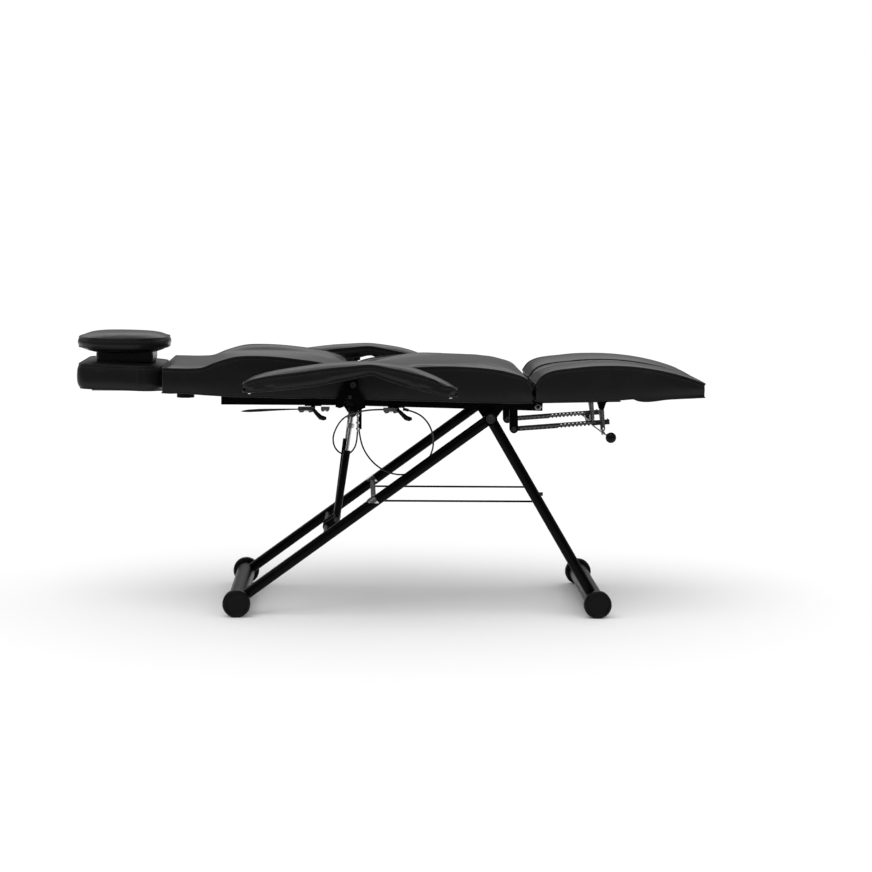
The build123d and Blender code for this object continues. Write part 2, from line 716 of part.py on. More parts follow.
def pad(shares, x0, length, mid_y, half, floor, thickness, bolster):
    sections = []
    for place, lift, edge, crest, centre, narrow in shares:
        x = x0 + place * length
        low = floor(x)
        heights = [low + share * thickness for share in (lift, edge, crest, centre)]
        width = half * (1 - narrow)
        sections.append(pad_section(x, mid_y, width, *heights, pad_tuck, bolster * width / half))
    return loft(sections)


def under_cut(x0, x1, floor, half):
    # everything under a pad's flat underside
    outline = Polyline((x0 - overrun, floor(x0 - overrun)), (x1 + overrun, floor(x1 + overrun)),
                       (x1 + overrun, floor(x1) - 2 * overrun), (x0 - overrun, floor(x0) - 2 * overrun),
                       (x0 - overrun, floor(x0 - overrun)))
    return slab(make_face(outline), -half - overrun, half + overrun)


def seat_floor(x):
    return seat_underside(x) + rail_height + gap


def back_floor(x):
    return back_rail_z + rail_height + gap


def seat_cushion():
    cushion = pad(seat_shares, seat_x0, seat_length, 0, seat_half, seat_floor, seat_thickness, bolster_width)
    return cushion - under_cut(seat_x0, seat_x1, seat_floor, seat_half)


# Backrest

def back_frame():
    nodes = {}
    rail_end = back_x1 - back_rail_end
    rail_start = rail_end - back_rail_length
    middle = back_rail_z + rail_height / 2
    rail = beam((rail_start, -rail_y, middle), (rail_end, -rail_y, middle),
                rail_width, rail_height, rail_wall)
    tube_x = hinge_x - back_tube_reach
    outrigger = box(tube_x - rail_width / 2, tube_x + rail_width / 2, -rail_outer, -back_plate_y,
                    back_rail_z, back_rail_z + outrigger_height)
    foot = (tube_x, back_rail_z + outrigger_height / 2, plate_foot_radius)
    plate = slab(hull(foot, (hinge_x, hinge_z, hinge_eye)), -back_plate_y, -back_plate_y - back_plate)
    plate = plate - pin(hinge_x, hinge_z, -back_plate_y, -back_plate_y - back_plate, hinge_radius + fit)
    rail = rail + outrigger + plate
    nodes["back_rail_left"] = mirrored(rail)
    nodes["back_rail_right"] = rail + lever_bracket(hinge_x - back_lever_reach, back_rail_z)

    lower = cross_tube(tube_x, middle, rail_inner, rail_width, rail_wall)
    lug = hull((*back_top, lug_radius), (tube_x, middle, rail_width / 2))
    hollow = pin(tube_x, middle, -rail_inner, rail_inner, rail_width / 2 - rail_wall)
    nodes["back_lower_tube"] = lower + (lug_pair(lug, *back_top, spring_y, top_inner, lug_plate) - hollow)
    nodes["back_fasteners"] = solids(*lug_bolt_heads(*back_top, spring_y, top_inner, lug_plate))

    upper_x = rail_start + upper_tube_inset
    upper = cross_tube(upper_x, middle, rail_inner, rail_width, rail_wall)
    for y in (-post_y, post_y):
        end = upper_x + rail_width / 2
        upper = upper + rod((back_x0 + lock_lobe_radius, y, post_z), (end, y, post_z), socket_radius)
    boss_x = back_x0 + lock_x_back
    boss = Pos(boss_x, -post_y, (lock_z + lock_height + post_z) / 2)
    boss_height = post_z - lock_z - lock_height - gap
    upper = upper + boss * Pos(0, 0, gap / 2) * Cylinder(lock_boss_radius, boss_height)
    for y in (-post_y, post_y):
        upper = upper - rod((back_x0, y, post_z), (upper_x + overrun, y, post_z), post_radius + fit)
    upper = upper - boss * Cylinder(lock_stem_radius + fit, overrun / 2)
    nodes["back_upper_tube"] = upper
    nodes["back_cushion"] = back_cushion()

    # scalloped clamp knob under the right socket
    knob = Pos(boss_x, -post_y, lock_z + lock_height / 2) * Cylinder(lock_radius, lock_height)
    for turn in range(lock_lobes):
        place = PolarLocations(lock_radius + lock_lobe_radius / 2, lock_lobes).locations[turn]
        scallop = Pos(boss_x, -post_y, lock_z + lock_height / 2) * place * Cylinder(lock_lobe_radius, overrun)
        knob = knob - scallop
    stem_top = post_z - post_radius - gap
    stem = Pos(boss_x, -post_y, (lock_z + lock_height + stem_top) / 2)
    knob = knob + stem * Cylinder(lock_stem_radius, stem_top - lock_z - lock_height)
    nodes["head_lock_knob"] = knob
    return nodes


def back_cushion():
    cushion = pad(back_shares, back_x0, back_length, 0, back_half, back_floor, back_thickness, bolster_width)
    cushion = cushion - under_cut(back_x0, back_x1, back_floor, back_half)
    for y in (-post_y, post_y):
        end = back_x1 - back_rail_end - back_rail_length + upper_tube_inset + rail_width
        cushion = cushion - rod((back_x0 - overrun, y, post_z), (end, y, post_z), socket_radius + gap)
    return cushion


# Headrest

def head_outline(inset):
    # a rectangle with its end towards the backrest bowed out
    x0 = head_x0 + inset
    x1 = head_x0 + head_length - head_bow
    half = head_half - inset
    lines = [Line((x0, -half), (x1, -half)),
             ThreePointArc((x1, -half), (x1 + head_bow - inset, 0), (x1, half)),
             Line((x1, half), (x0, half)), Line((x0, half), (x0, -half))]
    return make_face(lines)


# inset and height of the headrest's layers, as shares of its thickness
head_layer_shares = ((0.07, 0.0), (0.02, 0.10), (0.0, 0.45), (0.02, 0.86), (0.10, 0.97), (0.45, 1.06))
pillow_layer_shares = ((0.35, 0.0), (0.10, 0.12), (0.0, 0.48), (0.10, 0.86), (0.36, 1.0))


def headrest():
    layers = [Pos(0, 0, head_z + rise * head_thickness) * head_outline(inset * head_thickness)
              for inset, rise in head_layer_shares]
    cushion = loft(layers)
    start = head_x0 + post_back
    end = head_x0 + head_length + head_gap + post_in_socket
    posts = []
    for y in (-post_y, post_y):
        posts.append(rod((start, y, post_z), (end, y, post_z), post_radius))
        cushion = cushion - rod((start - gap, y, post_z), (end, y, post_z), post_radius + fit)
    nodes = {"head_posts": solids(*posts), "head_cushion": cushion}

    base_z = head_z + head_thickness * head_layer_shares[-1][1] + pad_swell
    mid_x = head_x0 + head_length / 2
    pedestal = box(mid_x - pedestal_length / 2, mid_x + pedestal_length / 2, -pedestal_half, pedestal_half,
                   base_z + gap, pillow_z - gap)
    edges = pedestal.edges().filter_by(Axis.Z)
    nodes["pillow_base"] = fillet(edges, socket_radius)
    pillow = []
    for inset, rise in pillow_layer_shares:
        side = inset * pillow_thickness
        sketch = RectangleRounded(pillow_length - 2 * side, 2 * pillow_half - 2 * side,
                                  pillow_thickness - side)
        pillow.append(Pos(head_x0 + pillow_length / 2 + gap, 0, pillow_z + rise * pillow_thickness) * sketch)
    nodes["head_pillow"] = loft(pillow)
    return nodes


# Armrests

arm_x1 = hinge_x + arm_ahead
arm_x0 = arm_x1 - arm_length


arm_bend = (hinge_x + arm_bend_ahead, arm_bend_z)


def sagging(start, end, sag, lift):
    # three points of the arc from start to end that hangs sag below its chord, all raised by lift
    chord = hypot(end[0] - start[0], end[1] - start[1])
    across = ((end[1] - start[1]) / chord, (start[0] - end[0]) / chord)
    middle = ((start[0] + end[0]) / 2 + across[0] * sag, (start[1] + end[1]) / 2 + across[1] * sag)
    return tuple((x, z + lift) for x, z in (start, middle, end))


def arm_arcs(lift):
    # the two arms of the line that the armrest's board follows, lift above its underside
    return (sagging((arm_x0, arm_rear_z), arm_bend, arm_rear_sag, lift),
            sagging(arm_bend, (arm_x1, arm_front_z), arm_front_sag, lift))


def arm_height(x, lift):
    rear, front = arm_arcs(lift)
    start, middle, end = rear if x < arm_bend[0] else front
    half = hypot(end[0] - start[0], end[1] - start[1]) / 2
    chord_middle = ((start[0] + end[0]) / 2, (start[1] + end[1]) / 2)
    sag = hypot(middle[0] - chord_middle[0], middle[1] - chord_middle[1])
    radius = (half ** 2 + sag ** 2) / (2 * sag)
    along = (radius - sag) / sag
    centre = [near + (near - far) * along for near, far in zip(chord_middle, middle)]
    return centre[1] - sqrt(radius ** 2 - (x - centre[0]) ** 2)


def arm_band(low, high):
    bottom, top = arm_arcs(low), arm_arcs(high)
    return make_face([
        ThreePointArc(*bottom[0]),
        ThreePointArc(*bottom[1]),
        Line(bottom[1][2], top[1][2]),
        ThreePointArc(*reversed(top[1])),
        ThreePointArc(*reversed(top[0])),
        Line(top[0][0], bottom[0][0]),
    ])


def armrest():
    band = slab(arm_band(0, arm_board), -arm_y - arm_half, -arm_y + arm_half)
    plan = RectangleRounded(arm_length - arm_board, 2 * arm_board_half, arm_board_half - arm_board)
    board = band & extrude(Pos((arm_x0 + arm_x1) / 2, -arm_y, arm_front_z - overrun) * plan,
                           arm_bend_z - arm_front_z + 2 * overrun)
    plate_top = arm_height(arm_pivot[0], 0)
    stem = hull((*arm_pivot, arm_eye), (arm_pivot[0] - arm_eye / 2, plate_top - arm_foot_height, arm_eye / 2),
                (arm_pivot[0] + arm_eye / 2, plate_top - arm_foot_height, arm_eye / 2))
    bracket = slab(stem, -arm_plate_y, -arm_plate_y - arm_plate)
    foot = box(arm_pivot[0] - arm_foot_width / 2, arm_pivot[0] + arm_foot_width / 2, -arm_plate_y,
               -arm_y - arm_board_half / 2, plate_top - 2 * arm_foot_height, plate_top + arm_board / 3)
    below = slab(arm_band(-2 * arm_foot_height, 0), -arm_y - arm_board_half, -arm_plate_y)
    top_trim = slab(arm_band(-arm_foot_height, 0), -arm_y - arm_board_half, -arm_plate_y)
    bracket = (bracket + (foot & top_trim)) - (slab(arm_band(0, overrun), -arm_y - overrun, 0))
    bracket = bracket & (below + slab(hull((*arm_pivot, arm_eye), (arm_pivot[0], plate_top, arm_eye)),
                                      -arm_plate_y, -arm_plate_y - arm_plate))
    bracket = bracket - pin(*arm_pivot, -arm_plate_y, -arm_plate_y - arm_plate, arm_pivot_radius + fit)
    cushion = pad(arm_shares, arm_x0, arm_length, -arm_y, arm_half, lambda x: arm_height(x, 0),
                  arm_pad_height + arm_board, arm_bolster)
    cushion = cushion - slab(arm_band(-overrun, arm_board + gap), -arm_y - overrun * 2, 0)
    return both("arm_board", board) | both("arm_bracket", bracket) | both("arm_pad", cushion)


# Leg rests

catch_pivot = (leg_hinge[0] + catch_reach, leg_hinge[1] - catch_drop)


def bar_state(lowering):
    # direction of the ratchet bar and distance from its pivot to the catch, at a lowering in degrees
    arm = turned((catch_reach, -catch_drop), radians(lowering))
    offset = (leg_hinge[0] + arm[0] - ratchet_pivot[0], leg_hinge[1] + arm[1] - ratchet_pivot[1])
    distance = hypot(*offset)
    angle = atan2(offset[1], offset[0]) - asin(catch_offset / distance)
    return angle, sqrt(distance ** 2 - catch_offset ** 2)


bar_angle, bar_reach = bar_state(0)
low_angle, low_reach = bar_state(leg_lowering)
notch_pitch = (bar_reach - low_reach) / ratchet_steps


def leg_floor(x):
    slope = leg_bar_rise / leg_bar_length
    return leg_hinge[1] + sleeve_radius + 2 * leg_bar_height / 3 + slope * (x - leg_hinge[0]) + gap


def leg_rest():
    cushion = pad(leg_shares, leg_x0, leg_length, -leg_mid_y, leg_half, leg_floor, leg_thickness, leg_bolster)
    cushion = cushion - under_cut(leg_x0, leg_x0 + leg_length, leg_floor, base_half)

    # sleeve on the hinge rod, two bars, a cross plate and the lugs of the catch
    frame = pin(*leg_hinge, -sleeve_y0, -rail_inner + gap, sleeve_radius)
    start_x, end_x = leg_hinge[0], leg_hinge[0] + leg_bar_length
    for share in leg_bar_y_shares:
        y = -leg_mid_y + share * leg_half
        bar_mid = leg_bar_height / 2 + gap
        frame = frame + beam((start_x, y, leg_floor(start_x) - bar_mid),
                             (end_x, y, leg_floor(end_x) - bar_mid),
                             leg_bar_width, leg_bar_height, rail_wall)
    plate_low = leg_floor(catch_pivot[0]) - gap - leg_bar_height
    width = 2 * catch_lug_radius + catch_lug
    y_low, y_high = (-leg_mid_y + share * leg_half for share in leg_bar_y_shares)
    plate = box(catch_pivot[0] - width / 2, catch_pivot[0] + width / 2, y_low, y_high,
                plate_low - catch_lug / 2, plate_low + catch_lug / 2)
    side = catch_side + catch_plate + gap
    ear = hull((*catch_pivot, catch_ear_radius),
               (catch_pivot[0] - catch_lug_radius, plate_low, catch_lug / 2),
               (catch_pivot[0] + catch_lug_radius, plate_low, catch_lug / 2))
    frame = frame + plate
    for y in (-bar_y - side, -bar_y + side):
        outer = y - catch_lug if y < -bar_y else y + catch_lug
        frame = frame + slab(ear, y, outer)
    frame = frame - pin(*leg_hinge, 0, -rail_y, leg_rod_radius + fit)
    bolt_half = side + catch_lug
    frame = frame + pin(*catch_pivot, -bar_y - bolt_half, -bar_y + bolt_half, pivot_radius)
    for sign in (-1, 1):
        face = -bar_y + sign * bolt_half
        frame = frame + pin(*catch_pivot, face, face + sign * pivot_head, catch_bolt_head_radius)
    return both("leg_frame", frame) | both("leg_cushion", cushion)


def catch():
    # two hanging plates joined by a guide pin over the bar and one under it
    down = bar_angle - radians(90)
    pawl_pivot = along(catch_pivot, down, pawl_pivot_drop)
    half = ratchet_height / 2
    over = along(catch_pivot, down, catch_offset - half - gap - guide_radius)
    under = along(catch_pivot, down, catch_offset + half + gap + guide_radius)
    outline = hull((*catch_pivot, catch_width / 2), (*pawl_pivot, catch_width / 2))
    shape = None
    for side in (-1, 1):
        inner = -bar_y + side * catch_side
        plate = slab(outline, inner, inner + side * catch_plate)
        plate = plate - pin(*catch_pivot, inner, inner + side * catch_plate, pivot_radius + fit)
        plate = plate - pin(*pawl_pivot, inner, inner + side * catch_plate, knob_rod_radius + fit)
        shape = plate if shape is None else shape + plate
    for x, z in (over, under):
        shape = shape + pin(x, z, -bar_y - catch_side, -bar_y + catch_side, guide_radius)
    return shape, pawl_pivot


def ratchet_bar():
    # built along X from its pivot, then laid at its angle
    length = bar_reach + ratchet_tail
    half = ratchet_height / 2
    outline = Pos(length / 2, 0) * Rectangle(length, ratchet_height)
    outline = outline + Circle(half)
    nose = bar_reach - pawl_nose_back
    for step in range(ratchet_steps + 1):
        x = nose - step * notch_pitch
        tooth = Polyline((x - notch_depth, -half), (x, notch_depth - half), (x + notch_depth, -half),
                         (x - notch_depth, -half))
        outline = outline - make_face(tooth)
        outline = outline - Pos(x + notch_pitch / 2, half / 4) * Circle(hole_radius)
    flat = extrude(side_plane(0) * outline, ratchet_width / 2, both=True)
    stub = pin(0, 0, gap - bracket_side, bracket_side - gap, pivot_radius)
    stop_at = Pos(length - ratchet_tail / 4, 0, half + guide_radius / 2)
    end_stop = stop_at * Box(guide_radius, ratchet_width, guide_radius)
    shape = flat + stub + end_stop
    place = Location((ratchet_pivot[0], -bar_y, ratchet_pivot[1]), (0, -degrees(bar_angle), 0))
    return place * shape


def pawl(pawl_pivot):
    # pawl between the plates, its cross rod and the ball knob beyond the leg rest's side. Its
    # nose is drawn just clear of the notches, so that the bar can pass
    half = ratchet_height / 2
    nose = along(ratchet_pivot, bar_angle, bar_reach - pawl_nose_back, -half - gap)
    corners = [along(nose, bar_angle, ahead * notch_depth, -below * notch_depth)
               for ahead, below in ((1, 1), (1, 2), (-1, 2), (-1, 1))]
    tip = make_face(Polyline(nose, *corners, nose))
    neck = along(nose, bar_angle, 0, -2 * notch_depth)
    y0, y1 = -bar_y - pawl_width / 2, -bar_y + pawl_width / 2
    body = slab(hull((*pawl_pivot, pawl_radius), (*neck, notch_depth)), y0, y1) + slab(tip, y0, y1)
    # room for the catch's lower guide pin while the pawl swings
    guide = along(catch_pivot, bar_angle - radians(90), catch_offset + half + gap + guide_radius)
    swung = turned((guide[0] - pawl_pivot[0], guide[1] - pawl_pivot[1]), radians(pawl_swing))
    room = guide_radius + 2 * gap
    swept = hull((*guide, room), (pawl_pivot[0] + swung[0], pawl_pivot[1] + swung[1], room))
    body = body - slab(swept, y0, y1)
    crank_y = -bar_y - catch_side - catch_plate - gap
    knob_at = (pawl_pivot[0] + knob_lead, pawl_pivot[1] - knob_drop)
    body = body + pin(*pawl_pivot, crank_y, -bar_y + catch_side + catch_plate, knob_rod_radius)
    crank = slab(hull((*pawl_pivot, pawl_radius), (*knob_at, pawl_radius)), crank_y, crank_y - catch_plate)
    body = body + crank + pin(*knob_at, crank_y, -knob_y, knob_rod_radius)
    ball = Pos(knob_at[0], -knob_y, knob_at[1]) * Sphere(knob_radius)
    return body, ball - pin(*knob_at, crank_y, -knob_y, knob_rod_radius)


def leg_mechanism():
    shape, pawl_pivot = catch()
    body, ball = pawl(pawl_pivot)
    nodes = both("catch", shape) | both("ratchet_bar", ratchet_bar())
    return nodes | both("release_pawl", solids(body, ball))


# Gas springs: built upright along Z from the foot pivot, then leaned to their top pivot

def leaned(shape, y, top):
    lean = atan2(top[0] - spring_foot[0], top[1] - spring_foot[1])
    return Location((spring_foot[0], y, spring_foot[1]), (0, degrees(lean), 0)) * shape


def eye(radius, half, z=0.0):
    return pin(0, z, -half, half, radius)


def upright(z0, z1, radius):
    return Pos(0, 0, (z0 + z1) / 2) * Cylinder(radius, z1 - z0)


def spring_rod(length, cylinder_length, drop, collar_size):
    # polished rod with a lock collar, an eye and the stub pin that sits between the top lugs
    body = upright(cylinder_length - rod_inside, length, rod_radius)
    collar = upright(length - drop, length - drop + collar_size[0], collar_size[1])
    head = eye(spring_head_radius, spring_eye_half, length) + eye(pivot_radius, top_stub, length)
    return body + collar + head


def springs():
    seat_span = hypot(seat_top[0] - spring_foot[0], seat_top[1] - spring_foot[1])
    back_span = hypot(back_top[0] - spring_foot[0], back_top[1] - spring_foot[1])
    nodes = {}
    cylinder = eye(lug_radius, spring_eye_half) + upright(0, neck_top, spring_eye_half)
    cylinder = cylinder + upright(neck_top, seat_cylinder_length, spring_radius)
    cylinder = cylinder - eye(pivot_radius + fit, overrun)
    cylinder = cylinder - upright(bore_floor, seat_cylinder_length, rod_radius + fit)
    nodes["seat_spring_cylinder"] = leaned(cylinder, -spring_y, seat_top)
    seat_rod = spring_rod(seat_span, seat_cylinder_length, collar_drop, (collar_length, collar_radius))
    nodes["seat_spring_rod"] = leaned(seat_rod, -spring_y, seat_top)

    bush = eye(bush_radius, spring_eye_half) - eye(pivot_radius + fit, overrun)
    nodes["back_spring_bush"] = leaned(bush, spring_y, back_top)
    body = eye(back_eye_radius, back_eye_half) + upright(0, neck_top, spring_eye_half)
    body = body + upright(neck_top, back_cylinder_length, spring_radius)
    body = body - eye(bush_radius + fit, overrun)
    body = body - upright(bore_floor, back_cylinder_length - gland, piston_radius + fit)
    body = body - upright(bore_floor, back_cylinder_length, rod_radius + fit)
    nodes["back_spring_cylinder"] = leaned(body, spring_y, back_top)
    piston_z = back_cylinder_length - rod_inside
    piston = upright(piston_z, piston_z + piston_length, piston_radius)
    piston = piston - upright(piston_z, piston_z + piston_length, rod_radius + fit)
    nodes["back_spring_piston"] = leaned(piston, spring_y, back_top)
    back_rod = spring_rod(back_span, back_cylinder_length, back_collar_drop,
                          (back_collar_length, back_collar_radius))
    nodes["back_spring_rod"] = leaned(back_rod, spring_y, back_top)
    return nodes


# Release levers

def lever(x, underside):
    # hub on its pin between the bracket's tabs, crank plate, and a bent arm out to the ball
    z = underside - lever_drop
    inside = bracket_half - bracket_tab - gap
    y = -lever_y
    shape = pin(x, z, y - inside, y + inside, lever_hub_radius)
    crank = hull((x, z - crank_arm, crank_radius / 2), (x, z, lever_hub_radius))
    shape = shape + slab(crank, y - crank_plate / 2, y + crank_plate / 2)
    shape = shape + pin(x, z, y - bracket_half - 2 * lever_arm_radius, y + bracket_half, lever_pin_radius)
    shoulder = (x, y - bracket_half - gap - lever_arm_radius, z)
    side = y - bracket_half - gap
    shape = shape + pin(x, z, side, side - 2 * lever_arm_radius, lever_hub_radius)
    ball = (x + lever_lead, y - lever_out, z - lever_fall)
    shape = shape + rod(shoulder, ball, lever_arm_radius)
    head = Pos(*ball) * Sphere(ball_radius) - shape
    return shape, head


def levers():
    seat_under = seat_underside(seat_lever_x)
    seat_arm, seat_ball = lever(seat_lever_x, seat_under)
    back_x = hinge_x - back_lever_reach
    back_arm, back_ball = lever(back_x, back_rail_z)
    # long flat blade towards the head, on a thin rod from the lever's hub
    z = back_rail_z - lever_drop
    y = -lever_y - bracket_half - gap - lever_arm_radius
    tip_x = back_x - blade_gap_length - blade_length
    back_arm = back_arm + rod((back_x, y, z), (back_x - blade_gap_length - blade_tip, y, z),
                              lever_pin_radius)
    blade_x = back_x - blade_gap_length
    blade = make_face(Polyline(
        (blade_x, z + lever_pin_radius / 2), (tip_x, z), (tip_x, z - blade_tip),
        (blade_x - blade_length / 3, z - blade_height), (blade_x, z - lever_pin_radius / 2),
        (blade_x, z + lever_pin_radius / 2)))
    back_arm = back_arm + slab(blade, y - blade_plate / 2, y + blade_plate / 2)
    return {"seat_lever": solids(seat_arm, seat_ball), "back_lever": solids(back_arm, back_ball)}


# Cables: straight runs joined by arcs as large as the runs allow

def cable(name, route):
    points = [Vector(*point) for point in route]
    radii = []
    for before, here, after in zip(points, points[1:], points[2:]):
        first, second = here - before, after - here
        turn = radians(first.get_angle(second))
        radii.append(cable_arc_share * min(first.length, second.length) / tan(turn / 2))
    runs = [(b - a).length for a, b in zip(points, points[1:])]
    path = FilletPolyline(*points, radius=radii)
    start = path.edges().sort_by(lambda edge: (edge.center() - points[0]).length)[0]
    section = Plane(origin=points[0], z_dir=points[1] - points[0]) * Circle(cable_radius)
    solid = sweep(section, path=path)
    print(name, "radii", [round(radius) for radius in radii], "runs", [round(run) for run in runs])
    print(name, "length", round(path.length, 1), "volume share",
          round(solid.volume / (path.length * pi * cable_radius ** 2), 4))
    return solid


def main():
    nodes = {}
    for group in (base(), seat_frame(), back_frame(), headrest(), armrest(), leg_rest(), leg_mechanism(),
                  springs(), levers()):
        nodes |= group
    nodes["release_cable_a"] = cable("release_cable_a", cable_a_route)
    nodes["release_cable_b"] = cable("release_cable_b", cable_b_route)
    for name, shape in nodes.items():
        export_step(shape, "parts/" + name + ".step")
    print(len(nodes), "nodes")
    print("leg bar", round(degrees(bar_angle), 3), round(degrees(low_angle), 3), round(bar_reach, 2),
          round(low_reach, 2))
    return nodes


nodes = main()
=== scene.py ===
import math
import random

import bmesh
import bpy
from mathutils import Matrix, Vector
from mathutils.bvhtree import BVHTree
from mathutils.kdtree import KDTree


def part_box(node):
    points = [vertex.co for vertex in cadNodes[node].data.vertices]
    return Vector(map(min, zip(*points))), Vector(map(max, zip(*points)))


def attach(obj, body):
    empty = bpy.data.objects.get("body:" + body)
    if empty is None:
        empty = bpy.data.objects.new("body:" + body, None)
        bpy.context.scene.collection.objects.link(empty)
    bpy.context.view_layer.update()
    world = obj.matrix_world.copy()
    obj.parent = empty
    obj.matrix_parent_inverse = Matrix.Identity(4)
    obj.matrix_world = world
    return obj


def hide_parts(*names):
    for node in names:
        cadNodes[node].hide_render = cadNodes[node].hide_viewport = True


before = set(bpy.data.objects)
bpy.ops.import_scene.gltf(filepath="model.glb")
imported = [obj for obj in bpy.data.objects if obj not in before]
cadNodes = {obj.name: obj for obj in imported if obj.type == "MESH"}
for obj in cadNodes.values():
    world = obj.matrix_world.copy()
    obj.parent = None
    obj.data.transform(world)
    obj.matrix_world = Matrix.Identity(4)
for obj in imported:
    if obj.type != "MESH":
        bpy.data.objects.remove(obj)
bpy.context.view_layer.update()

scene = bpy.context.scene
sideSigns = {"right": -1, "left": 1}  # right is the near side, at -Y
print("frame loaded:", len(cadNodes), "nodes")

# Camera, where the photographer stood

viewpoint = {
    "place": (-0.1001, -6.7188, 1.2493),
    "yaw": 0.037,
    "pitch": 0.1085,
    "roll": 0.010,
    "focalPixels": 2170.8,
    "picturePixels": 872,
    "sensorWidth": 36.0,
    "farthest": 400.0,
}


def makeCamera():
    data = bpy.data.cameras.new("studioCamera")
    data.sensor_width = viewpoint["sensorWidth"]
    data.lens = viewpoint["focalPixels"] * viewpoint["sensorWidth"] / viewpoint["picturePixels"]
    data.clip_end = viewpoint["farthest"]
    yaw, pitch, roll = viewpoint["yaw"], viewpoint["pitch"], viewpoint["roll"]
    ahead = Vector((math.sin(yaw) * math.cos(pitch), math.cos(yaw) * math.cos(pitch), -math.sin(pitch)))
    level = Vector((math.cos(yaw), -math.sin(yaw), 0))
    upright = level.cross(ahead)
    right = level * math.cos(roll) + upright * math.sin(roll)
    up = upright * math.cos(roll) - level * math.sin(roll)
    camera = bpy.data.objects.new("studioCamera", data)
    scene.collection.objects.link(camera)
    turn = Matrix((right, up, -ahead)).transposed().to_4x4()
    camera.matrix_world = Matrix.Translation(viewpoint["place"]) @ turn
    scene.camera = camera


makeCamera()

# The two release cables, as smooth lines between their stop and their ferrule

cables = {
    "radius": 0.0026,
    "a": {
        "length": 0.459,
        "route": (
            (-0.017, -0.210, 0.619), (-0.048, -0.204, 0.618), (-0.086, -0.184, 0.611),
            (-0.120, -0.146, 0.598), (-0.145, -0.102, 0.577), (-0.162, -0.058, 0.547),
            (-0.173, -0.024, 0.513), (-0.168, -0.004, 0.480), (-0.148, 0.0, 0.459),
            (-0.122, 0.0, 0.458), (-0.104, -0.001, 0.477), (-0.097, -0.004, 0.505),
            (-0.096, -0.004, 0.533),
        ),
    },
    "b": {
        "length": 0.556,
        "route": (
            (0.057, -0.210, 0.617), (0.086, -0.208, 0.609), (0.114, -0.202, 0.584),
            (0.131, -0.190, 0.550), (0.136, -0.174, 0.510), (0.126, -0.156, 0.470),
            (0.103, -0.132, 0.435), (0.069, -0.104, 0.411), (0.029, -0.075, 0.403),
            (-0.011, -0.046, 0.411), (-0.046, -0.020, 0.433), (-0.071, -0.003, 0.463),
            (-0.086, 0.003, 0.497), (-0.091, 0.004, 0.533),
        ),
    },
}


def makeCable(key, material):
    route = cables[key]["route"]
    line = bpy.data.curves.new("cableSheath_" + key, "CURVE")
    line.dimensions = "3D"
    spline = line.splines.new("NURBS")
    spline.points.add(len(route) - 1)
    for point, place in zip(spline.points, route):
        point.co = (*place, 1.0)
    spline.order_u = 3
    spline.use_endpoint_u = True
    spline.resolution_u = 10
    line.bevel_depth = cables["radius"]
    line.bevel_resolution = 4
    line.use_fill_caps = True
    piece = bpy.data.objects.new("cableSheath_" + key, line)
    scene.collection.objects.link(piece)
    piece.data.materials.append(material)
    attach(piece, "seat")
    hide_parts("release_cable_" + key)


# Materials: a wire stands for one socket, so that shader maths reads as plain sums

class Wire:
    def __init__(self, finish, socket):
        self.finish = finish
        self.socket = socket

    def maths(self, operation, first, second):
        return self.finish.add("ShaderNodeMath", {"operation": operation}, {0: first, 1: second})

    def __add__(self, other):
        return self.maths("ADD", self, other)

    def __radd__(self, other):
        return self.maths("ADD", other, self)

    def __sub__(self, other):
        return self.maths("SUBTRACT", self, other)

    def __rsub__(self, other):
        return self.maths("SUBTRACT", other, self)

    def __mul__(self, other):
        return self.maths("MULTIPLY", self, other)


class Finish:
    def __init__(self, name, tree=None):
        if tree is None:
            self.material = bpy.data.materials.new(name)
            self.material.use_nodes = True
            tree = self.material.node_tree
        self.tree = tree
        self.tree.nodes.clear()

    def add(self, kind, settings=None, sockets=None, out=0):
        node = self.tree.nodes.new(kind)
        for key, value in (settings or {}).items():
            if key == "stops":
                ramp = node.color_ramp
                for index, (place, shade) in enumerate(value):
                    stop = ramp.elements[index] if index < 2 else ramp.elements.new(place)
                    stop.position = place
                    stop.color = (shade, shade, shade, 1)
            else:
                setattr(node, key, value)
        for key, value in (sockets or {}).items():
            if isinstance(value, Wire):
                self.tree.links.new(value.socket, node.inputs[key])
            else:
                node.inputs[key].default_value = value
        return Wire(self, node.outputs[out]) if len(node.outputs) else None

    def place(self):
        return self.add("ShaderNodeTexCoord", out="Object")

    def noise(self, scale, detail=3.0, roughness=0.55):
        sockets = {"Vector": self.place(), "Scale": scale, "Detail": detail, "Roughness": roughness}
        return self.add("ShaderNodeTexNoise", None, sockets, "Fac")

    def cells(self, scale, feature="F1"):
        return self.add("ShaderNodeTexVoronoi", {"feature": feature},
                        {"Vector": self.place(), "Scale": scale}, "Distance")

    def ramp(self, wire, *stops):
        return self.add("ShaderNodeValToRGB", {"stops": stops}, {"Fac": wire})

    def blend(self, share, first, second):
        # inputs 6 and 7 of the node hold its colours, and output 2 the mixed one
        first, second = [value if isinstance(value, Wire) else (*value, 1) for value in (first, second)]
        return self.add("ShaderNodeMix", {"data_type": "RGBA"}, {0: share, 6: first, 7: second}, 2)

    def bump(self, height, strength, distance):
        return self.add("ShaderNodeBump", None,
                        {"Height": height, "Strength": strength, "Distance": distance}, "Normal")

    def axes(self, wire):
        split = self.tree.nodes.new("ShaderNodeSeparateXYZ")
        self.tree.links.new(wire.socket, split.inputs[0])
        return [Wire(self, socket) for socket in split.outputs]

    def ray(self, kind):
        return self.add("ShaderNodeLightPath", out="Is " + kind + " Ray")

    def finish(self, **sockets):
        names = {key.replace("_", " "): value for key, value in sockets.items()}
        shader = self.add("ShaderNodeBsdfPrincipled", None, names)
        self.add("ShaderNodeOutputMaterial", None, {"Surface": shader})
        return self.material


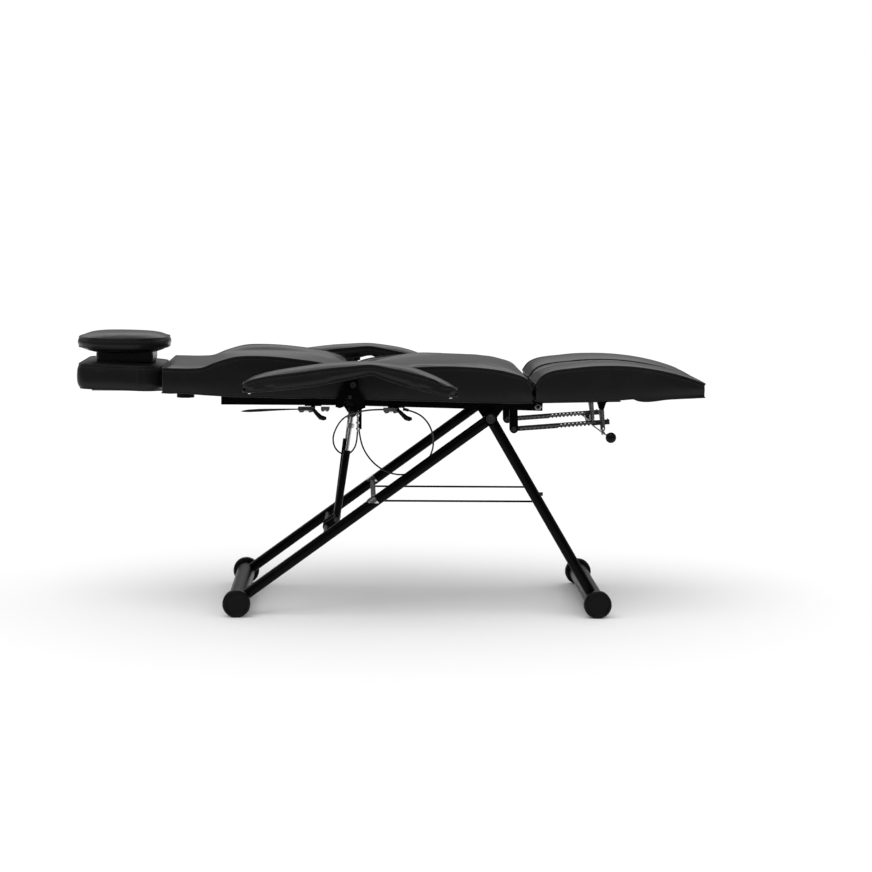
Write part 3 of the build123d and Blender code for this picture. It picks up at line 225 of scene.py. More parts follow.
# Each finish blends a first and a second colour by noise layers, which also have their shares in
# its roughness and its bumps. A layer is noise or cells, cut by two stops where it has them.

looks = {
    "upholstery": {
        "name": "vinylBlack",
        "colours": ((0.0060, 0.0060, 0.0066), (0.0135, 0.0135, 0.0145)),
        "roughness": 0.27, "specular": 0.17, "bump": (0.55, 0.00016),
        "layers": {
            "pebbles": {"cells": (640.0, "SMOOTH_F1"), "rough": -0.05, "height": 0.8},
            "creases": {"noise": (95.0, 5.0, 0.6), "height": 0.9},
            "cloud": {"noise": (4.5, 3.0), "colour": 0.6, "rough": 0.10},
            "rubbed": {"noise": (17.0, 6.0, 0.65), "cut": (0.54, 0.78), "colour": 0.4, "rough": 0.07},
        },
    },
    "frame_paint": {
        "name": "powderCoatBlack",
        "colours": ((0.0012, 0.0012, 0.0014), (0.0060, 0.0060, 0.0064)),
        "roughness": 0.26, "specular": 0.07, "bump": (0.4, 0.00012),
        "layers": {
            "peel": {"noise": (420.0, 2.0), "rough": 0.04, "height": 1.0},
            "cloud": {"noise": (9.0, 4.0), "rough": 0.08},
            "dust": {"noise": (26.0, 8.0, 0.7), "cut": (0.52, 0.80), "colour": 0.5, "rough": 0.12},
            "scuffs": {"cells": (130.0, "DISTANCE_TO_EDGE"), "edge": 0.022, "within": "dust",
                       "colour": 0.5, "height": 0.3},
        },
    },
    "bright_steel": {
        "name": "chromePlate",
        "colours": ((0.66, 0.66, 0.68), (0.36, 0.355, 0.35)),
        "roughness": 0.13, "metallic": 1.0, "bump": (0.25, 0.00008),
        "layers": {
            "cloud": {"noise": (35.0, 5.0, 0.6), "colour": 0.2, "rough": 0.12},
            "lines": {"noise": (900.0, 2.0), "height": 1.0},
            "specks": {"noise": (260.0, 6.0, 0.75), "cut": (0.60, 0.76), "colour": 0.8, "rough": 0.25,
                       "height": 1.0},
        },
    },
    "dark_steel": {
        "name": "blackZinc",
        "colours": ((0.045, 0.045, 0.048), (0.16, 0.158, 0.155)),
        "roughness": 0.30, "metallic": 0.9, "bump": (0.35, 0.00012),
        "layers": {
            "cloud": {"noise": (60.0, 6.0, 0.65), "rough": 0.16, "height": 1.0},
            "worn": {"noise": (150.0, 7.0, 0.7), "cut": (0.50, 0.72), "colour": 1.0, "height": 0.5},
        },
    },
    "black_plastic": {
        "name": "mouldedBlack",
        "colours": ((0.0024, 0.0024, 0.0027), (0.0085, 0.0085, 0.009)),
        "roughness": 0.36, "specular": 0.12, "bump": (0.3, 0.00007),
        "layers": {
            "spark": {"cells": (1500.0,), "height": 1.0},
            "cloud": {"noise": (14.0, 4.0), "colour": 0.3, "rough": 0.10},
            "scratch": {"noise": (75.0, 9.0, 0.8), "cut": (0.60, 0.70), "colour": 0.7, "rough": 0.10,
                        "height": 0.4},
        },
    },
    "sheath": {
        "name": "cableRubber",
        "colours": ((0.006, 0.006, 0.006), (0.018, 0.018, 0.018)),
        "roughness": 0.38, "bump": (0.35, 0.0001),
        "layers": {
            "ripple": {"noise": (700.0, 3.0), "height": 1.0},
            "cloud": {"noise": (40.0, 4.0), "colour": 1.0, "rough": 0.18},
        },
    },
    "thread": {
        "name": "blackThread",
        "colours": ((0.012, 0.012, 0.013), (0.040, 0.040, 0.042)),
        "roughness": 0.50, "bump": (0.6, 0.0002),
        "layers": {
            "twist": {"noise": (2200.0, 2.0), "rough": 0.25, "height": 1.0},
            "cloud": {"noise": (50.0, 3.0), "colour": 1.0},
        },
    },
    "dustCloth": {
        "name": "dustCloth",
        "colours": ((0.010, 0.010, 0.010), (0.036, 0.036, 0.035)),
        "roughness": 0.80, "bump": (0.7, 0.0003),
        "layers": {
            "felt": {"noise": (1300.0, 6.0, 0.75), "colour": 0.6, "rough": 0.15, "height": 1.0},
            "points": {"cells": (420.0,), "height": 1.0},
            "cloud": {"noise": (12.0, 4.0), "colour": 0.4},
        },
    },
}


def makeFinish(look):
    coat = Finish(look["name"])
    sums = {"colour": 0.0, "rough": look["roughness"], "height": 0.0}
    made = {}
    for key, layer in look["layers"].items():
        wire = coat.cells(*layer["cells"]) if "cells" in layer else coat.noise(*layer["noise"])
        if "cut" in layer:
            wire = coat.ramp(wire, (layer["cut"][0], 0.0), (layer["cut"][1], 1.0))
        if "edge" in layer:
            wire = coat.ramp(wire, (0.0, 1.0), (layer["edge"], 0.0))
        if "within" in layer:
            wire = wire * made[layer["within"]]
        made[key] = wire
        for use in sums:
            if use in layer:
                sums[use] = wire * layer[use] + sums[use]
    return coat.finish(
        Base_Color=coat.blend(sums["colour"], *look["colours"]),
        Metallic=look.get("metallic", 0.0),
        Roughness=sums["rough"],
        Specular_IOR_Level=look.get("specular", 0.5),
        Normal=coat.bump(sums["height"], *look["bump"]),
    )


finishes = {key: makeFinish(look) for key, look in looks.items()}
otherFinish = {
    "catch_right": "bright_steel",
    "catch_left": "bright_steel",
    # painted reflection: the ratchet bars are dark steel above their bright toothed strip, standing in for
    # a chrome bar that shows the dark pad above and the pale floor below
    "ratchet_bar_right": "dark_steel",
    "ratchet_bar_left": "dark_steel",
    "head_posts": "dark_steel",
}
for name, node in cadNodes.items():
    for holder in node.material_slots:
        slotName = holder.material.name.split(".")[0]
        holder.material = finishes[otherFinish.get(name, slotName)]
print("finishes made:", len(finishes))

for key in ("a", "b"):
    makeCable(key, finishes["sheath"])
print("cables laid")

# Mesh helpers

def linkPiece(name, mesh, body, slot, *materials, hard=False):
    piece = bpy.data.objects.new(name, mesh)
    scene.collection.objects.link(piece)
    for material in materials:
        mesh.materials.append(material)
    mesh.shade_smooth()
    if hard:
        mesh.set_sharp_from_angle(angle=math.radians(38))
    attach(piece, body)
    return piece


def bridge(build, first, second):
    # quads between two closed rings of points
    others = first[1:] + first[:1], second[1:] + second[:1]
    return [build.faces.new(corners) for corners in zip(first, others[0], others[1], second)]


def addTube(build, points, radius, sides=8, closed=False):
    # a round tube along points, capped where it is open; radius may be a list
    points = [Vector(point) for point in points]
    count = len(points)
    rings = []
    normal = None
    for index, here in enumerate(points):
        before = points[(index - 1) % count] if closed or index else here
        after = points[(index + 1) % count] if closed or index < count - 1 else here
        along = (after - before).normalized()
        if normal is None:
            normal = along.orthogonal().normalized()
        normal = (normal - along * normal.dot(along)).normalized()
        across = along.cross(normal)
        size = radius[index] if isinstance(radius, (list, tuple)) else radius
        ring = []
        for step in range(sides):
            turn = 2 * math.pi * step / sides
            ring.append(build.verts.new(here + (normal * math.cos(turn) + across * math.sin(turn)) * size))
        rings.append(ring)
    pairs = list(zip(rings, rings[1:]))
    if closed:
        pairs.append((rings[-1], closestRing(rings[-1], rings[0])))
    for first, second in pairs:
        bridge(build, first, second)
    if not closed:
        build.faces.new(list(reversed(rings[0])))
        build.faces.new(rings[-1])


def closestRing(last, first):
    # the first ring, turned so that its points meet those of the last one
    best = min(range(len(first)), key=lambda step: (first[step].co - last[0].co).length)
    return first[best:] + first[:best]


def addPlate(build, outline, nearY, farY):
    # a flat plate, cut to an outline in X and Z
    near = [build.verts.new((x, nearY, z)) for x, z in outline]
    far = [build.verts.new((x, farY, z)) for x, z in outline]
    build.faces.new(near)
    build.faces.new(list(reversed(far)))
    bridge(build, near, far)


def addBall(build, centre, radius):
    bmesh.ops.create_uvsphere(build, u_segments=28, v_segments=18, radius=radius,
                              matrix=Matrix.Translation(centre))


def meshFrom(build, name):
    bmesh.ops.recalc_face_normals(build, faces=build.faces)
    mesh = bpy.data.meshes.new(name)
    build.to_mesh(mesh)
    build.free()
    return mesh


def spread(points, step, closed=False):
    # the same line with its points at even steps
    line = list(points) + ([points[0]] if closed else [])
    total = sum((b - a).length for a, b in zip(line, line[1:]))
    count = max(2, round(total / step))
    result, walked, index = [], 0.0, 0
    for number in range(count if closed else count + 1):
        target = total * number / count
        while index < len(line) - 2 and walked + (line[index + 1] - line[index]).length < target:
            walked += (line[index + 1] - line[index]).length
            index += 1
        span = (line[index + 1] - line[index]).length or 1.0
        result.append(line[index].lerp(line[index + 1], min(1.0, (target - walked) / span)))
    return result


def treeOf(meshes):
    points, faces = [], []
    for mesh in meshes:
        first = len(points)
        points += [vertex.co.copy() for vertex in mesh.vertices]
        faces += [tuple(first + index for index in face.vertices) for face in mesh.polygons]
    return BVHTree.FromPolygons(points, faces)


def castFrom(tree, start, direction):
    return tree.ray_cast(Vector(start), Vector(direction))[0]


def smoothStep(share):
    return share * share * (3 - 2 * share)


def sided(points, sign):
    return [(x, sign * y, z) for x, y, z in points]


# Pads: read from the frame as clean rows of quads, filled by cloth simulation, then seamed

padding = {
    "endStep": 0.0008,
    "inset": 0.0012,
    "seamTuck": 0.0034,
    "lowTuck": 0.0062,
    "seamCrease": 0.8,
    "endRead": 0.014,
    "rollWidth": 0.034,
    "rollSlope": 0.20,
    "rollStart": 0.004,
    "castTop": 2.0,
    "castFloor": 0.2,
    "castSide": 0.5,
    "headroom": 0.04,
    "sideSlack": 0.02,
    "levels": 40,
    "halvings": 7,
    "acrossEase": 0.45,
    "alongEase": 0.5,
    "cornerSteps": 8,
    "domePower": 2.2,
    "frames": 20,
    "cacheEnd": 25,
}
clothValues = {
    "quality": 5,
    "mass": 0.3,
    "tension_stiffness": 20,
    "compression_stiffness": 20,
    "shear_stiffness": 8,
    "bending_stiffness": 1.2,
    "use_pressure": True,
    "uniform_pressure_force": 4.0,
    "vertex_group_mass": "held",
}
puckers = {
    "markStep": 0.004,
    "beats": 400,
    "weakest": 0.2,
    "depth": 0.0006,
    "length": 0.023,
    "reach": 0.014,
    "waveDepth": 0.0007,
    "waveAlong": 17,
    "waveAcross": 21,
    "waveFade": 0.06,
    "wallSlope": 0.6,
    "grooveDrop": 0.0095,
    "grooveDepth": 0.0013,
    "grooveWidth": 0.0032,
}
sideShares = (0.0, 0.04, 0.08, 0.12, 0.17, 0.25, 0.37, 0.50, 0.64, 0.78, 0.90, 1.0)


def eased(share, firmness):
    # points closer together towards both ends
    return (1 - firmness) * share + firmness * (0.5 - 0.5 * math.cos(math.pi * share))


def widthAt(tree, x, z, middleY, side):
    hit = castFrom(tree, (x, middleY + side, z), (0, -side, 0))
    return -1.0 if hit is None else (hit.y - middleY) * side


# the near seam of each pad as the photograph shows it, along X and Z in metres

seamLines = {
    "seat": (
        (-0.116, 0.709), (-0.104, 0.721), (-0.085, 0.730), (-0.050, 0.739), (0.000, 0.7455),
        (0.083, 0.7515), (0.181, 0.7545), (0.303, 0.7470), (0.378, 0.7312), (0.415, 0.7125),
        (0.4265, 0.6900),
    ),
    "back": (
        (-0.679, 0.7425), (-0.564, 0.7439), (-0.520, 0.7605), (-0.476, 0.7742), (-0.440, 0.7800),
        (-0.357, 0.7796), (-0.268, 0.7713), (-0.194, 0.7600), (-0.150, 0.7470), (-0.132, 0.7340),
        (-0.122, 0.7150),
    ),
    "legUnder": ((0.435, 0.700), (0.690, 0.700), (0.740, 0.6570), (0.840, 0.6620), (0.945, 0.6675)),
    "leg": (
        (0.435, 0.7020), (0.453, 0.7275), (0.4885, 0.7436), (0.557, 0.7530), (0.614, 0.7585),
        (0.698, 0.7590), (0.770, 0.7524), (0.842, 0.7392), (0.912, 0.7190), (0.945, 0.7070),
    ),
}


def lineHeight(line, x):
    # a smooth curve through the line's points
    x = min(max(x, line[0][0]), line[-1][0])
    index = max(number for number in range(len(line) - 1) if line[number][0] <= x)
    (startX, startZ), (endX, endZ) = line[index], line[index + 1]
    before, after = line[max(index - 1, 0)], line[min(index + 2, len(line) - 1)]
    width = endX - startX
    startSlope = (endZ - before[1]) / (endX - before[0]) * width
    endSlope = (after[1] - startZ) / (after[0] - startX) * width
    share = (x - startX) / width
    rise = smoothStep(share)
    return (startZ * (1 - rise) + endZ * rise + startSlope * share * (1 - share) ** 2
            - endSlope * (1 - share) * share * share)


def sideCorners(tree, x, readX, middleY, side, floorZ, crownZ, seamZ):
    # where a section's side ends above and below, as two points
    step = (crownZ - floorZ) / padding["levels"]
    heights = [floorZ + step * (level + 0.5) for level in range(padding["levels"])]
    widths = [widthAt(tree, readX, z, middleY, side) for z in heights]
    topY = max(widths) - padding["seamTuck"]
    if seamZ is None:
        seamZ = max(z for z, width in zip(heights, widths) if width >= topY)
        beyond = seamZ + step
        for turn in range(padding["halvings"]):
            z = (seamZ + beyond) / 2
            if widthAt(tree, readX, z, middleY, side) >= topY:
                seamZ = z
            else:
                beyond = z
    top = Vector((x, middleY + side * topY, seamZ))
    return top, Vector((x, middleY + side * (max(widths) - padding["lowTuck"]), floorZ))


def sideSpot(tree, x, readX, spot, side):
    # the solid's side at this height, unless it lies far inside the line between the seams
    hit = castFrom(tree, (readX, spot.y + side * padding["castSide"], spot.z), (0, -side, 0))
    if hit and (hit.y - spot.y) * side > -padding["sideSlack"]:
        return Vector((x, hit.y, spot.z))
    return spot


def padRing(tree, x, low, high, shape):
    # one section of a pad: across the top, down one side, back under it and up the other
    line, topCount = shape.get("line"), shape["quads"][0]
    middleY = (low.y + high.y) / 2
    reach = padding["endRead"] if line else 0.0
    readX = min(max(x, low.x + reach), high.x - reach)
    above = castFrom(tree, (readX, middleY, padding["castTop"]), (0, 0, -1))
    below = castFrom(tree, (readX, middleY, padding["castFloor"]), (0, 0, 1))
    if "under" in shape:
        below.z = min(below.z, lineHeight(shape["under"], x))
    seamZ = lineHeight(line, x) if line else None
    (topRight, lowRight), (topLeft, lowLeft) = [
        sideCorners(tree, x, readX, middleY, side, below.z, above.z + padding["headroom"], seamZ)
        for side in (1, -1)]
    across = [eased(step / topCount, padding["acrossEase"]) for step in range(topCount + 1)]
    ring = [topLeft]
    for share in across[1:-1]:
        spot = topLeft.lerp(topRight, share)
        hit = castFrom(tree, (readX, spot.y, padding["castTop"]), (0, 0, -1)) or spot
        if line:
            height = shape["crown"](x, spot.y, hit.z, seamZ)
            ahead = min(x - low.x, high.x - x) + padding["rollStart"]
            inward = min(spot.y - topLeft.y, topRight.y - spot.y, ahead)
            share = smoothStep(min(1.0, inward / padding["rollWidth"]))
            spot.z = (spot.z + inward * padding["rollSlope"]) * (1 - share) + height * share
        else:
            spot = hit
        ring.append(spot)
    ring.append(topRight)
    inner = sideShares[1:-1]
    ring += [sideSpot(tree, x, readX, topRight.lerp(lowRight, share), 1) for share in inner]
    ring += [lowRight.lerp(lowLeft, share) for share in across]
    ring += [sideSpot(tree, x, readX, topLeft.lerp(lowLeft, share), -1) for share in reversed(inner)]
    return ring


def barPad(nodes, shape):
    # a pad that lies along X, with its seams on the section's corners
    tree = treeOf([cadNodes[node].data for node in nodes])
    low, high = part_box(nodes[0])
    margin = padding["endStep"] + shape.get("endCut", 0.0)
    start, end = low.x + margin, high.x - margin
    topCount, rows = shape["quads"]
    sideCount = len(sideShares) - 1
    build = bmesh.new()
    grid = []
    for row in range(rows + 1):
        x = start + (end - start) * eased(row / rows, padding["alongEase"])
        grid.append([build.verts.new(point) for point in padRing(tree, x, low, high, shape)])
    lowFaces = []
    for first, second in zip(grid, grid[1:]):
        lowFaces += bridge(build, first, second)[topCount + sideCount:2 * topCount + sideCount]
    for ring in (grid[0], grid[-1]):
        closeEnd(build, ring, topCount)
    loops = {}
    for key, left, right in (("top", 0, topCount), ("low", 2 * topCount + sideCount, topCount + sideCount)):
        across = list(range(left, right, 1 if right > left else -1))
        loops[key] = [grid[0][step] for step in across]
        loops[key] += [row[right] for row in grid[:-1]]
        loops[key] += [grid[-1][step] for step in [right] + list(reversed(across))[:-1]]
        loops[key] += [row[left] for row in reversed(grid[1:])]
    return build, loops, lowFaces


def closeEnd(build, ring, topCount):
    # fills one end of a pad with quads between its top row and its bottom row
    sideCount = len(sideShares) - 1
    top = ring[:topCount + 1]
    right = ring[topCount:topCount + sideCount + 1]
    low = list(reversed(ring[topCount + sideCount:2 * topCount + sideCount + 1]))
    left = [ring[0]] + list(reversed(ring[2 * topCount + sideCount:]))
    rows = [top]
    for step in range(1, sideCount):
        inner = [build.verts.new(top[across].co.lerp(low[across].co, sideShares[step]))
                 for across in range(1, topCount)]
        rows.append([left[step], *inner, right[step]])
    rows.append(low)
    for first, second in zip(rows, rows[1:]):
        for across in range(topCount):
            build.faces.new((first[across], first[across + 1], second[across + 1], second[across]))


def outlineFrom(low, high, leftRadius, rightRadius, count):
    # a rectangle with round corners, seen from above, as points at even steps
    line = []
    for x, y, radius, turn in ((low.x, low.y, leftRadius, 180), (high.x, low.y, rightRadius, 270),
                               (high.x, high.y, rightRadius, 0), (low.x, high.y, leftRadius, 90)):
        centreX = x + radius if x == low.x else x - radius
        centreY = y + radius if y == low.y else y - radius
        for step in range(padding["cornerSteps"] + 1):
            angle = math.radians(turn + 90 * step / padding["cornerSteps"])
            spot = (centreX + radius * math.cos(angle), centreY + radius * math.sin(angle), 0)
            line.append(Vector(spot))
    perimeter = sum((b - a).length for a, b in zip(line, line[1:] + line[:1]))
    return spread(line, perimeter / count, closed=True)


def drumPad(shape):
    # a pad that stands upright: a wall in rows of height share and inset, then a crown and a floor
    low, high, wall, count = Vector(shape["low"]), Vector(shape["high"]), shape["wall"], shape["quads"]
    middle, half = (low + high) / 2, (high - low) / 2
    outline = outlineFrom(low, high, *shape["radii"], count)
    height = high.z - low.z
    build = bmesh.new()

    def ringAt(share, inset, z):
        points = []
        for spot in outline:
            x = middle.x + (spot.x - middle.x) * share * (1 - inset / half.x)
            y = middle.y + (spot.y - middle.y) * share * (1 - inset / half.y)
            points.append(build.verts.new((x, y, z - shape.get("tilt", 0.0) * (x - middle.x))))
        return points

    rows = [ringAt(1.0, inset, low.z + height * share) for share, inset in wall]
    for first, second in zip(rows, rows[1:]):
        bridge(build, first, second)
    for rim, above in ((-1, True), (0, False)):
        rimShare, rimInset = wall[rim]
        rimZ = low.z + height * rimShare
        before, made = rows[rim], []
        for share in crownShares:
            lift = (high.z - rimZ) * (1 - share ** padding["domePower"]) if above else 0.0
            here = ringAt(share, rimInset, rimZ + lift)
            made += bridge(build, before, here)
            before = here
        tip = build.verts.new((middle.x, middle.y, high.z if above else rimZ))
        made += [build.faces.new((*pair, tip)) for pair in zip(before, before[1:] + before[:1])]
    return build, {str(index): row for index, row in enumerate(rows)}, made


class Pad:
    def __init__(self, name, nodes, body, seed, shape):
        build, loops, lowFaces = drumPad(shape) if "wall" in shape else barPad(nodes, shape)
        self.name, self.body, self.seed, self.shape = name, body, seed, shape
        bmesh.ops.recalc_face_normals(build, faces=build.faces)
        creases = build.edges.layers.float.new("crease_edge")
        held = set()
        for face in lowFaces:
            face.material_index = 1
            held.update(face.verts)
        for key in shape["seams"]:
            loop = loops[key]
            held.update(loop)
            for first, second in zip(loop, loop[1:] + loop[:1]):
                edge = build.edges.get((first, second))
                if edge:
                    edge[creases] = padding["seamCrease"]
        build.normal_update()
        for vertex in set(build.verts) - held:
            vertex.co -= vertex.normal * padding["inset"]
        build.verts.index_update()
        self.heldIndices = [vertex.index for vertex in held]
        self.loops = {key: [vertex.index for vertex in loop] for key, loop in loops.items()}
        mesh = bpy.data.meshes.new(name)
        build.to_mesh(mesh)
        build.free()
        self.piece = linkPiece(name, mesh, body, "upholstery", finishes["upholstery"],
                               finishes["dustCloth"])
        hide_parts(*nodes)

    def prepareCloth(self):
        group = self.piece.vertex_groups.new(name="held")
        group.add(self.heldIndices, 1.0, "REPLACE")
        self.startPoints = [vertex.co.copy() for vertex in self.piece.data.vertices]
        cloth = self.piece.modifiers.new("filling", "CLOTH")
        for key, value in clothValues.items():
            setattr(cloth.settings, key, value)
        cloth.settings.effector_weights.gravity = 0
        cloth.collision_settings.use_collision = False
        cloth.point_cache.frame_start = 1
        cloth.point_cache.frame_end = padding["cacheEnd"]

    def takeCloth(self):
        cap = self.shape["swell"]
        graph = bpy.context.evaluated_depsgraph_get()
        swollen = self.piece.evaluated_get(graph)
        moved = [vertex.co.copy() for vertex in swollen.to_mesh().vertices]
        swollen.to_mesh_clear()
        for vertex, start, end in zip(self.piece.data.vertices, self.startPoints, moved):
            step = end - start
            vertex.co = start + step * (cap / (cap + step.length))
        self.piece.modifiers.clear()
        self.piece.vertex_groups.clear()
        self.piece.data.update()

    def refine(self):
        self.lines = {key: [self.piece.data.vertices[index].co.copy() for index in loop]
                      for key, loop in self.loops.items()}
        self.piece.modifiers.new("finer", "SUBSURF").levels = 1
        graph = bpy.context.evaluated_depsgraph_get()
        finer = bpy.data.meshes.new_from_object(self.piece.evaluated_get(graph))
        self.piece.modifiers.clear()
        old = self.piece.data
        self.piece.data = finer
        bpy.data.meshes.remove(old)
        finer.name = self.name

    def pucker(self):
        # a stitched groove under each top seam, small gathers beside the seams, slow waves between
        draw = random.Random(self.seed)
        marks = []
        step = puckers["markStep"]
        for key in self.shape["seams"]:
            line = spread(self.lines[key], step, closed=True)
            marks += [(point, step * number) for number, point in enumerate(line)]
        tree = KDTree(len(marks))
        for number, (point, walked) in enumerate(marks):
            tree.insert(point, number)
        tree.balance()
        beats = [draw.uniform(puckers["weakest"], 1.0) for number in range(puckers["beats"])]
        mesh = self.piece.data
        moves = []
        for vertex in mesh.vertices:
            point, number, distance = tree.find(vertex.co)
            beat = marks[number][1] / puckers["length"]
            fade = math.exp(-distance / puckers["reach"]) * (1 - math.exp(-distance / step))
            dent = beats[int(beat) % len(beats)] * math.sin(2 * math.pi * beat) * fade
            wave = math.sin(puckers["waveAlong"] * vertex.co.x + self.seed)
            wave *= math.sin(puckers["waveAcross"] * vertex.co.y + 2 * self.seed)
            wave *= min(1.0, distance / puckers["waveFade"])
            groove = 0.0
            if abs(vertex.normal.z) < puckers["wallSlope"] and vertex.co.z < point.z:
                off = (distance - puckers["grooveDrop"]) / puckers["grooveWidth"]
                groove = puckers["grooveDepth"] * math.exp(-off * off)
            moves.append(vertex.normal * (puckers["depth"] * dent + puckers["waveDepth"] * wave - groove))
        for vertex, move in zip(mesh.vertices, moves):
            vertex.co += move
        mesh.update()
        mesh.shade_smooth()


# How each crown lies over its seam line

crowns = {
    "legRise": 0.0085,
    "legEndRise": 0.004,
    "legDroop": 0.0135,
    "legRoundness": 0.8,
    "legInner": 0.003,
    "legWidth": 0.276,
    "legStart": 0.435,
    "legLength": 0.51,
    "seatRise": 0.004,
    "seatDrop": 0.033,
    "seatDropFrom": 0.110,
    "dropPower": 1.5,
    "backDrop": 0.042,
    "backDropFrom": -0.255,
}


def legCrown(x, y, castZ, seamZ):
    # a leg pad is crowned across, and lies lower along the slit between the two
    share = (abs(y) - crowns["legInner"]) / crowns["legWidth"]
    along = (x - crowns["legStart"]) / crowns["legLength"]
    rise = crowns["legRise"] + crowns["legEndRise"] * along
    arch = math.sin(math.pi * min(1.0, max(0.0, share))) ** crowns["legRoundness"]
    return seamZ + rise * arch - crowns["legDroop"] * (1 - share) ** crowns["dropPower"]


seatLow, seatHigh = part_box("seat_cushion")
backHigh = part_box("back_cushion")[1]


def seatCrown(x, y, castZ, seamZ):
    along = (x - seatLow.x) / (seatHigh.x - seatLow.x)
    fall = max(0.0, (crowns["seatDropFrom"] - x) / (crowns["seatDropFrom"] - seatLow.x))
    rise = crowns["seatRise"] * math.sin(math.pi * along)
    return castZ + rise - crowns["seatDrop"] * fall ** crowns["dropPower"]


def backCrown(x, y, castZ, seamZ):
    fall = max(0.0, (x - crowns["backDropFrom"]) / (backHigh.x - crowns["backDropFrom"]))
    return castZ - crowns["backDrop"] * fall ** 2


# What each pad is: its quads, where it is sewn, and how far its skin may swell

crownShares = (0.96, 0.90, 0.82, 0.72, 0.60, 0.46, 0.30, 0.15)
barSewing = {
    "swell": 0.0028,
    "seams": ("top", "low"),
    "ridges": {"seam": ("top",), "hem": ("low",)},
    "stitched": "top",
}
padShapes = {
    "seat": {**barSewing, "line": seamLines["seat"], "crown": seatCrown, "quads": (44, 54)},
    "back": {**barSewing, "line": seamLines["back"], "crown": backCrown, "quads": (42, 56)},
    "leg": {**barSewing, "line": seamLines["leg"], "crown": legCrown, "quads": (26, 50),
            "under": seamLines["legUnder"]},
    "arm": {**barSewing, "quads": (16, 60), "swell": 0.0035, "endCut": 0.0045, "hemRadius": 0.0024},
    "head": {
        "low": (-0.9455, -0.176, 0.6668),
        "high": (-0.6825, 0.176, 0.7505),
        "radii": (0.030, 0.068),
        "quads": 116,
        "swell": 0.0032,
        "tilt": 0.032,
        "seams": ("1", "7"),
        "ridges": {"seam": ("7",), "hem": ("1",)},
        "stitched": "7",
        "wall": ((0.0, 0.020), (0.03, 0.010), (0.11, 0.003), (0.28, 0.0), (0.48, 0.0), (0.68, 0.0008),
                 (0.82, 0.0030), (0.90, 0.0075)),
    },
    "pillow": {
        "low": (-0.9570, -0.150, 0.7750),
        "high": (-0.6720, 0.150, 0.8385),
        "radii": (0.118, 0.118),
        "quads": 100,
        "swell": 0.0035,
        "seams": ("3", "6"),
        "ridges": {"seam": ("3", "6")},
        "stitched": "6",
        "wall": ((0.0, 0.052), (0.05, 0.034), (0.14, 0.018), (0.27, 0.006), (0.45, 0.0), (0.60, 0.0012),
                 (0.73, 0.007), (0.86, 0.019), (0.94, 0.034)),
    },
    "foot": {
        "low": (-0.8960, -0.092, 0.7470),
        "high": (-0.7200, 0.092, 0.7880),
        "radii": (0.020, 0.020),
        "quads": 64,
        "swell": 0.0012,
        "seams": ("0", "3"),
        "ridges": {},
        "wall": ((0.0, 0.003), (0.2, 0.0), (0.6, 0.0), (1.0, 0.002)),
    },
}

pads = [
    Pad("seatPad", ("seat_cushion",), "seat", 1, padShapes["seat"]),
    Pad("backPad", ("back_cushion",), "backrest", 2, padShapes["back"]),
]
for order, side in enumerate(sideSigns):
    legNodes, armNodes = ("leg_cushion_" + side,), ("arm_pad_" + side, "arm_board_" + side)
    pads.append(Pad("legPad_" + side, legNodes, "leg_rest_" + side, 3 + order, padShapes["leg"]))
    pads.append(Pad("armPad_" + side, armNodes, "armrest_" + side, 5 + order, padShapes["arm"]))
head = Pad("headPad", ("head_cushion",), "headrest", 7, padShapes["head"])
pads.append(head)
pads.append(Pad("pillowPad", ("head_pillow",), "pillow", 8, padShapes["pillow"]))
pads.append(Pad("pillowFoot", ("pillow_base",), "pillow", 9, padShapes["foot"]))
print("pads read from the frame:", len(pads))

for pad in pads:
    pad.prepareCloth()
for number in range(1, padding["frames"] + 1):
    scene.frame_set(number)
for pad in pads:
    pad.takeCloth()
scene.frame_set(1)
print("pads filled")
for pad in pads:
    pad.refine()
    pad.pucker()
print("pads finished")

# Seams: a folded ridge on each seam line and rows of stitches beside it

sewing = {
    "ridgeRadius": 0.0019,
    "ridgeStep": 0.007,
    "stitchLength": 0.0044,
    "stitchPitch": 0.0064,
    "stitchRadius": 0.0006,
    "stitchRadii": (0.5, 0.9, 1.0, 0.9, 0.5),
    "stitchLift": 0.7,
    "stitchArch": 0.6,
    "stitchShoulder": 0.35,
}


def linkSewing(pad, label, build, slot, finish):
    name = label + pad.name[0].upper() + pad.name[1:]
    linkPiece(name, meshFrom(build, label), pad.body, slot, finishes[finish])


def ridgeAlong(pad, lines, label, radius, closed=True):
    build = bmesh.new()
    for line in lines:
        addTube(build, spread(line, sewing["ridgeStep"], closed), radius, 8, closed)
    linkSewing(pad, label, build, "upholstery", "upholstery")


def stitchRow(pad, lines, label, closed=True):
    # short stitches that lie on the pad's skin along the given lines
    tree = treeOf([pad.piece.data])
    build = bmesh.new()
    size = sewing["stitchRadius"]
    radii = [size * share for share in sewing["stitchRadii"]]
    for line in lines:
        points = spread(line, sewing["stitchPitch"], closed)
        for first, second in zip(points, points[1:] + points[:1] if closed else points[1:]):
            ends = []
            for share in (0.0, sewing["stitchLength"] / sewing["stitchPitch"]):
                point, normal, index, distance = tree.find_nearest(first.lerp(second, share))
                ends.append(point + normal * size * sewing["stitchLift"])
            top = (ends[0] + ends[1]) / 2 + normal * size * sewing["stitchArch"]
            feet = [end - normal * size for end in ends]
            sides = [end.lerp(top, sewing["stitchShoulder"]) for end in ends]
            addTube(build, (feet[0], sides[0], top, sides[1], feet[1]), radii, 5)
    linkSewing(pad, label, build, "black_plastic", "thread")


for pad in pads:
    for label, keys in pad.shape["ridges"].items():
        radius = pad.shape.get(label + "Radius", sewing["ridgeRadius"])
        ridgeAlong(pad, [pad.lines[key] for key in keys], label, radius)
    if "stitched" in pad.shape:
        drop = Vector((0, 0, puckers["grooveDrop"]))
        stitchRow(pad, [[point - drop for point in pad.lines[pad.shape["stitched"]]]], "stitches")

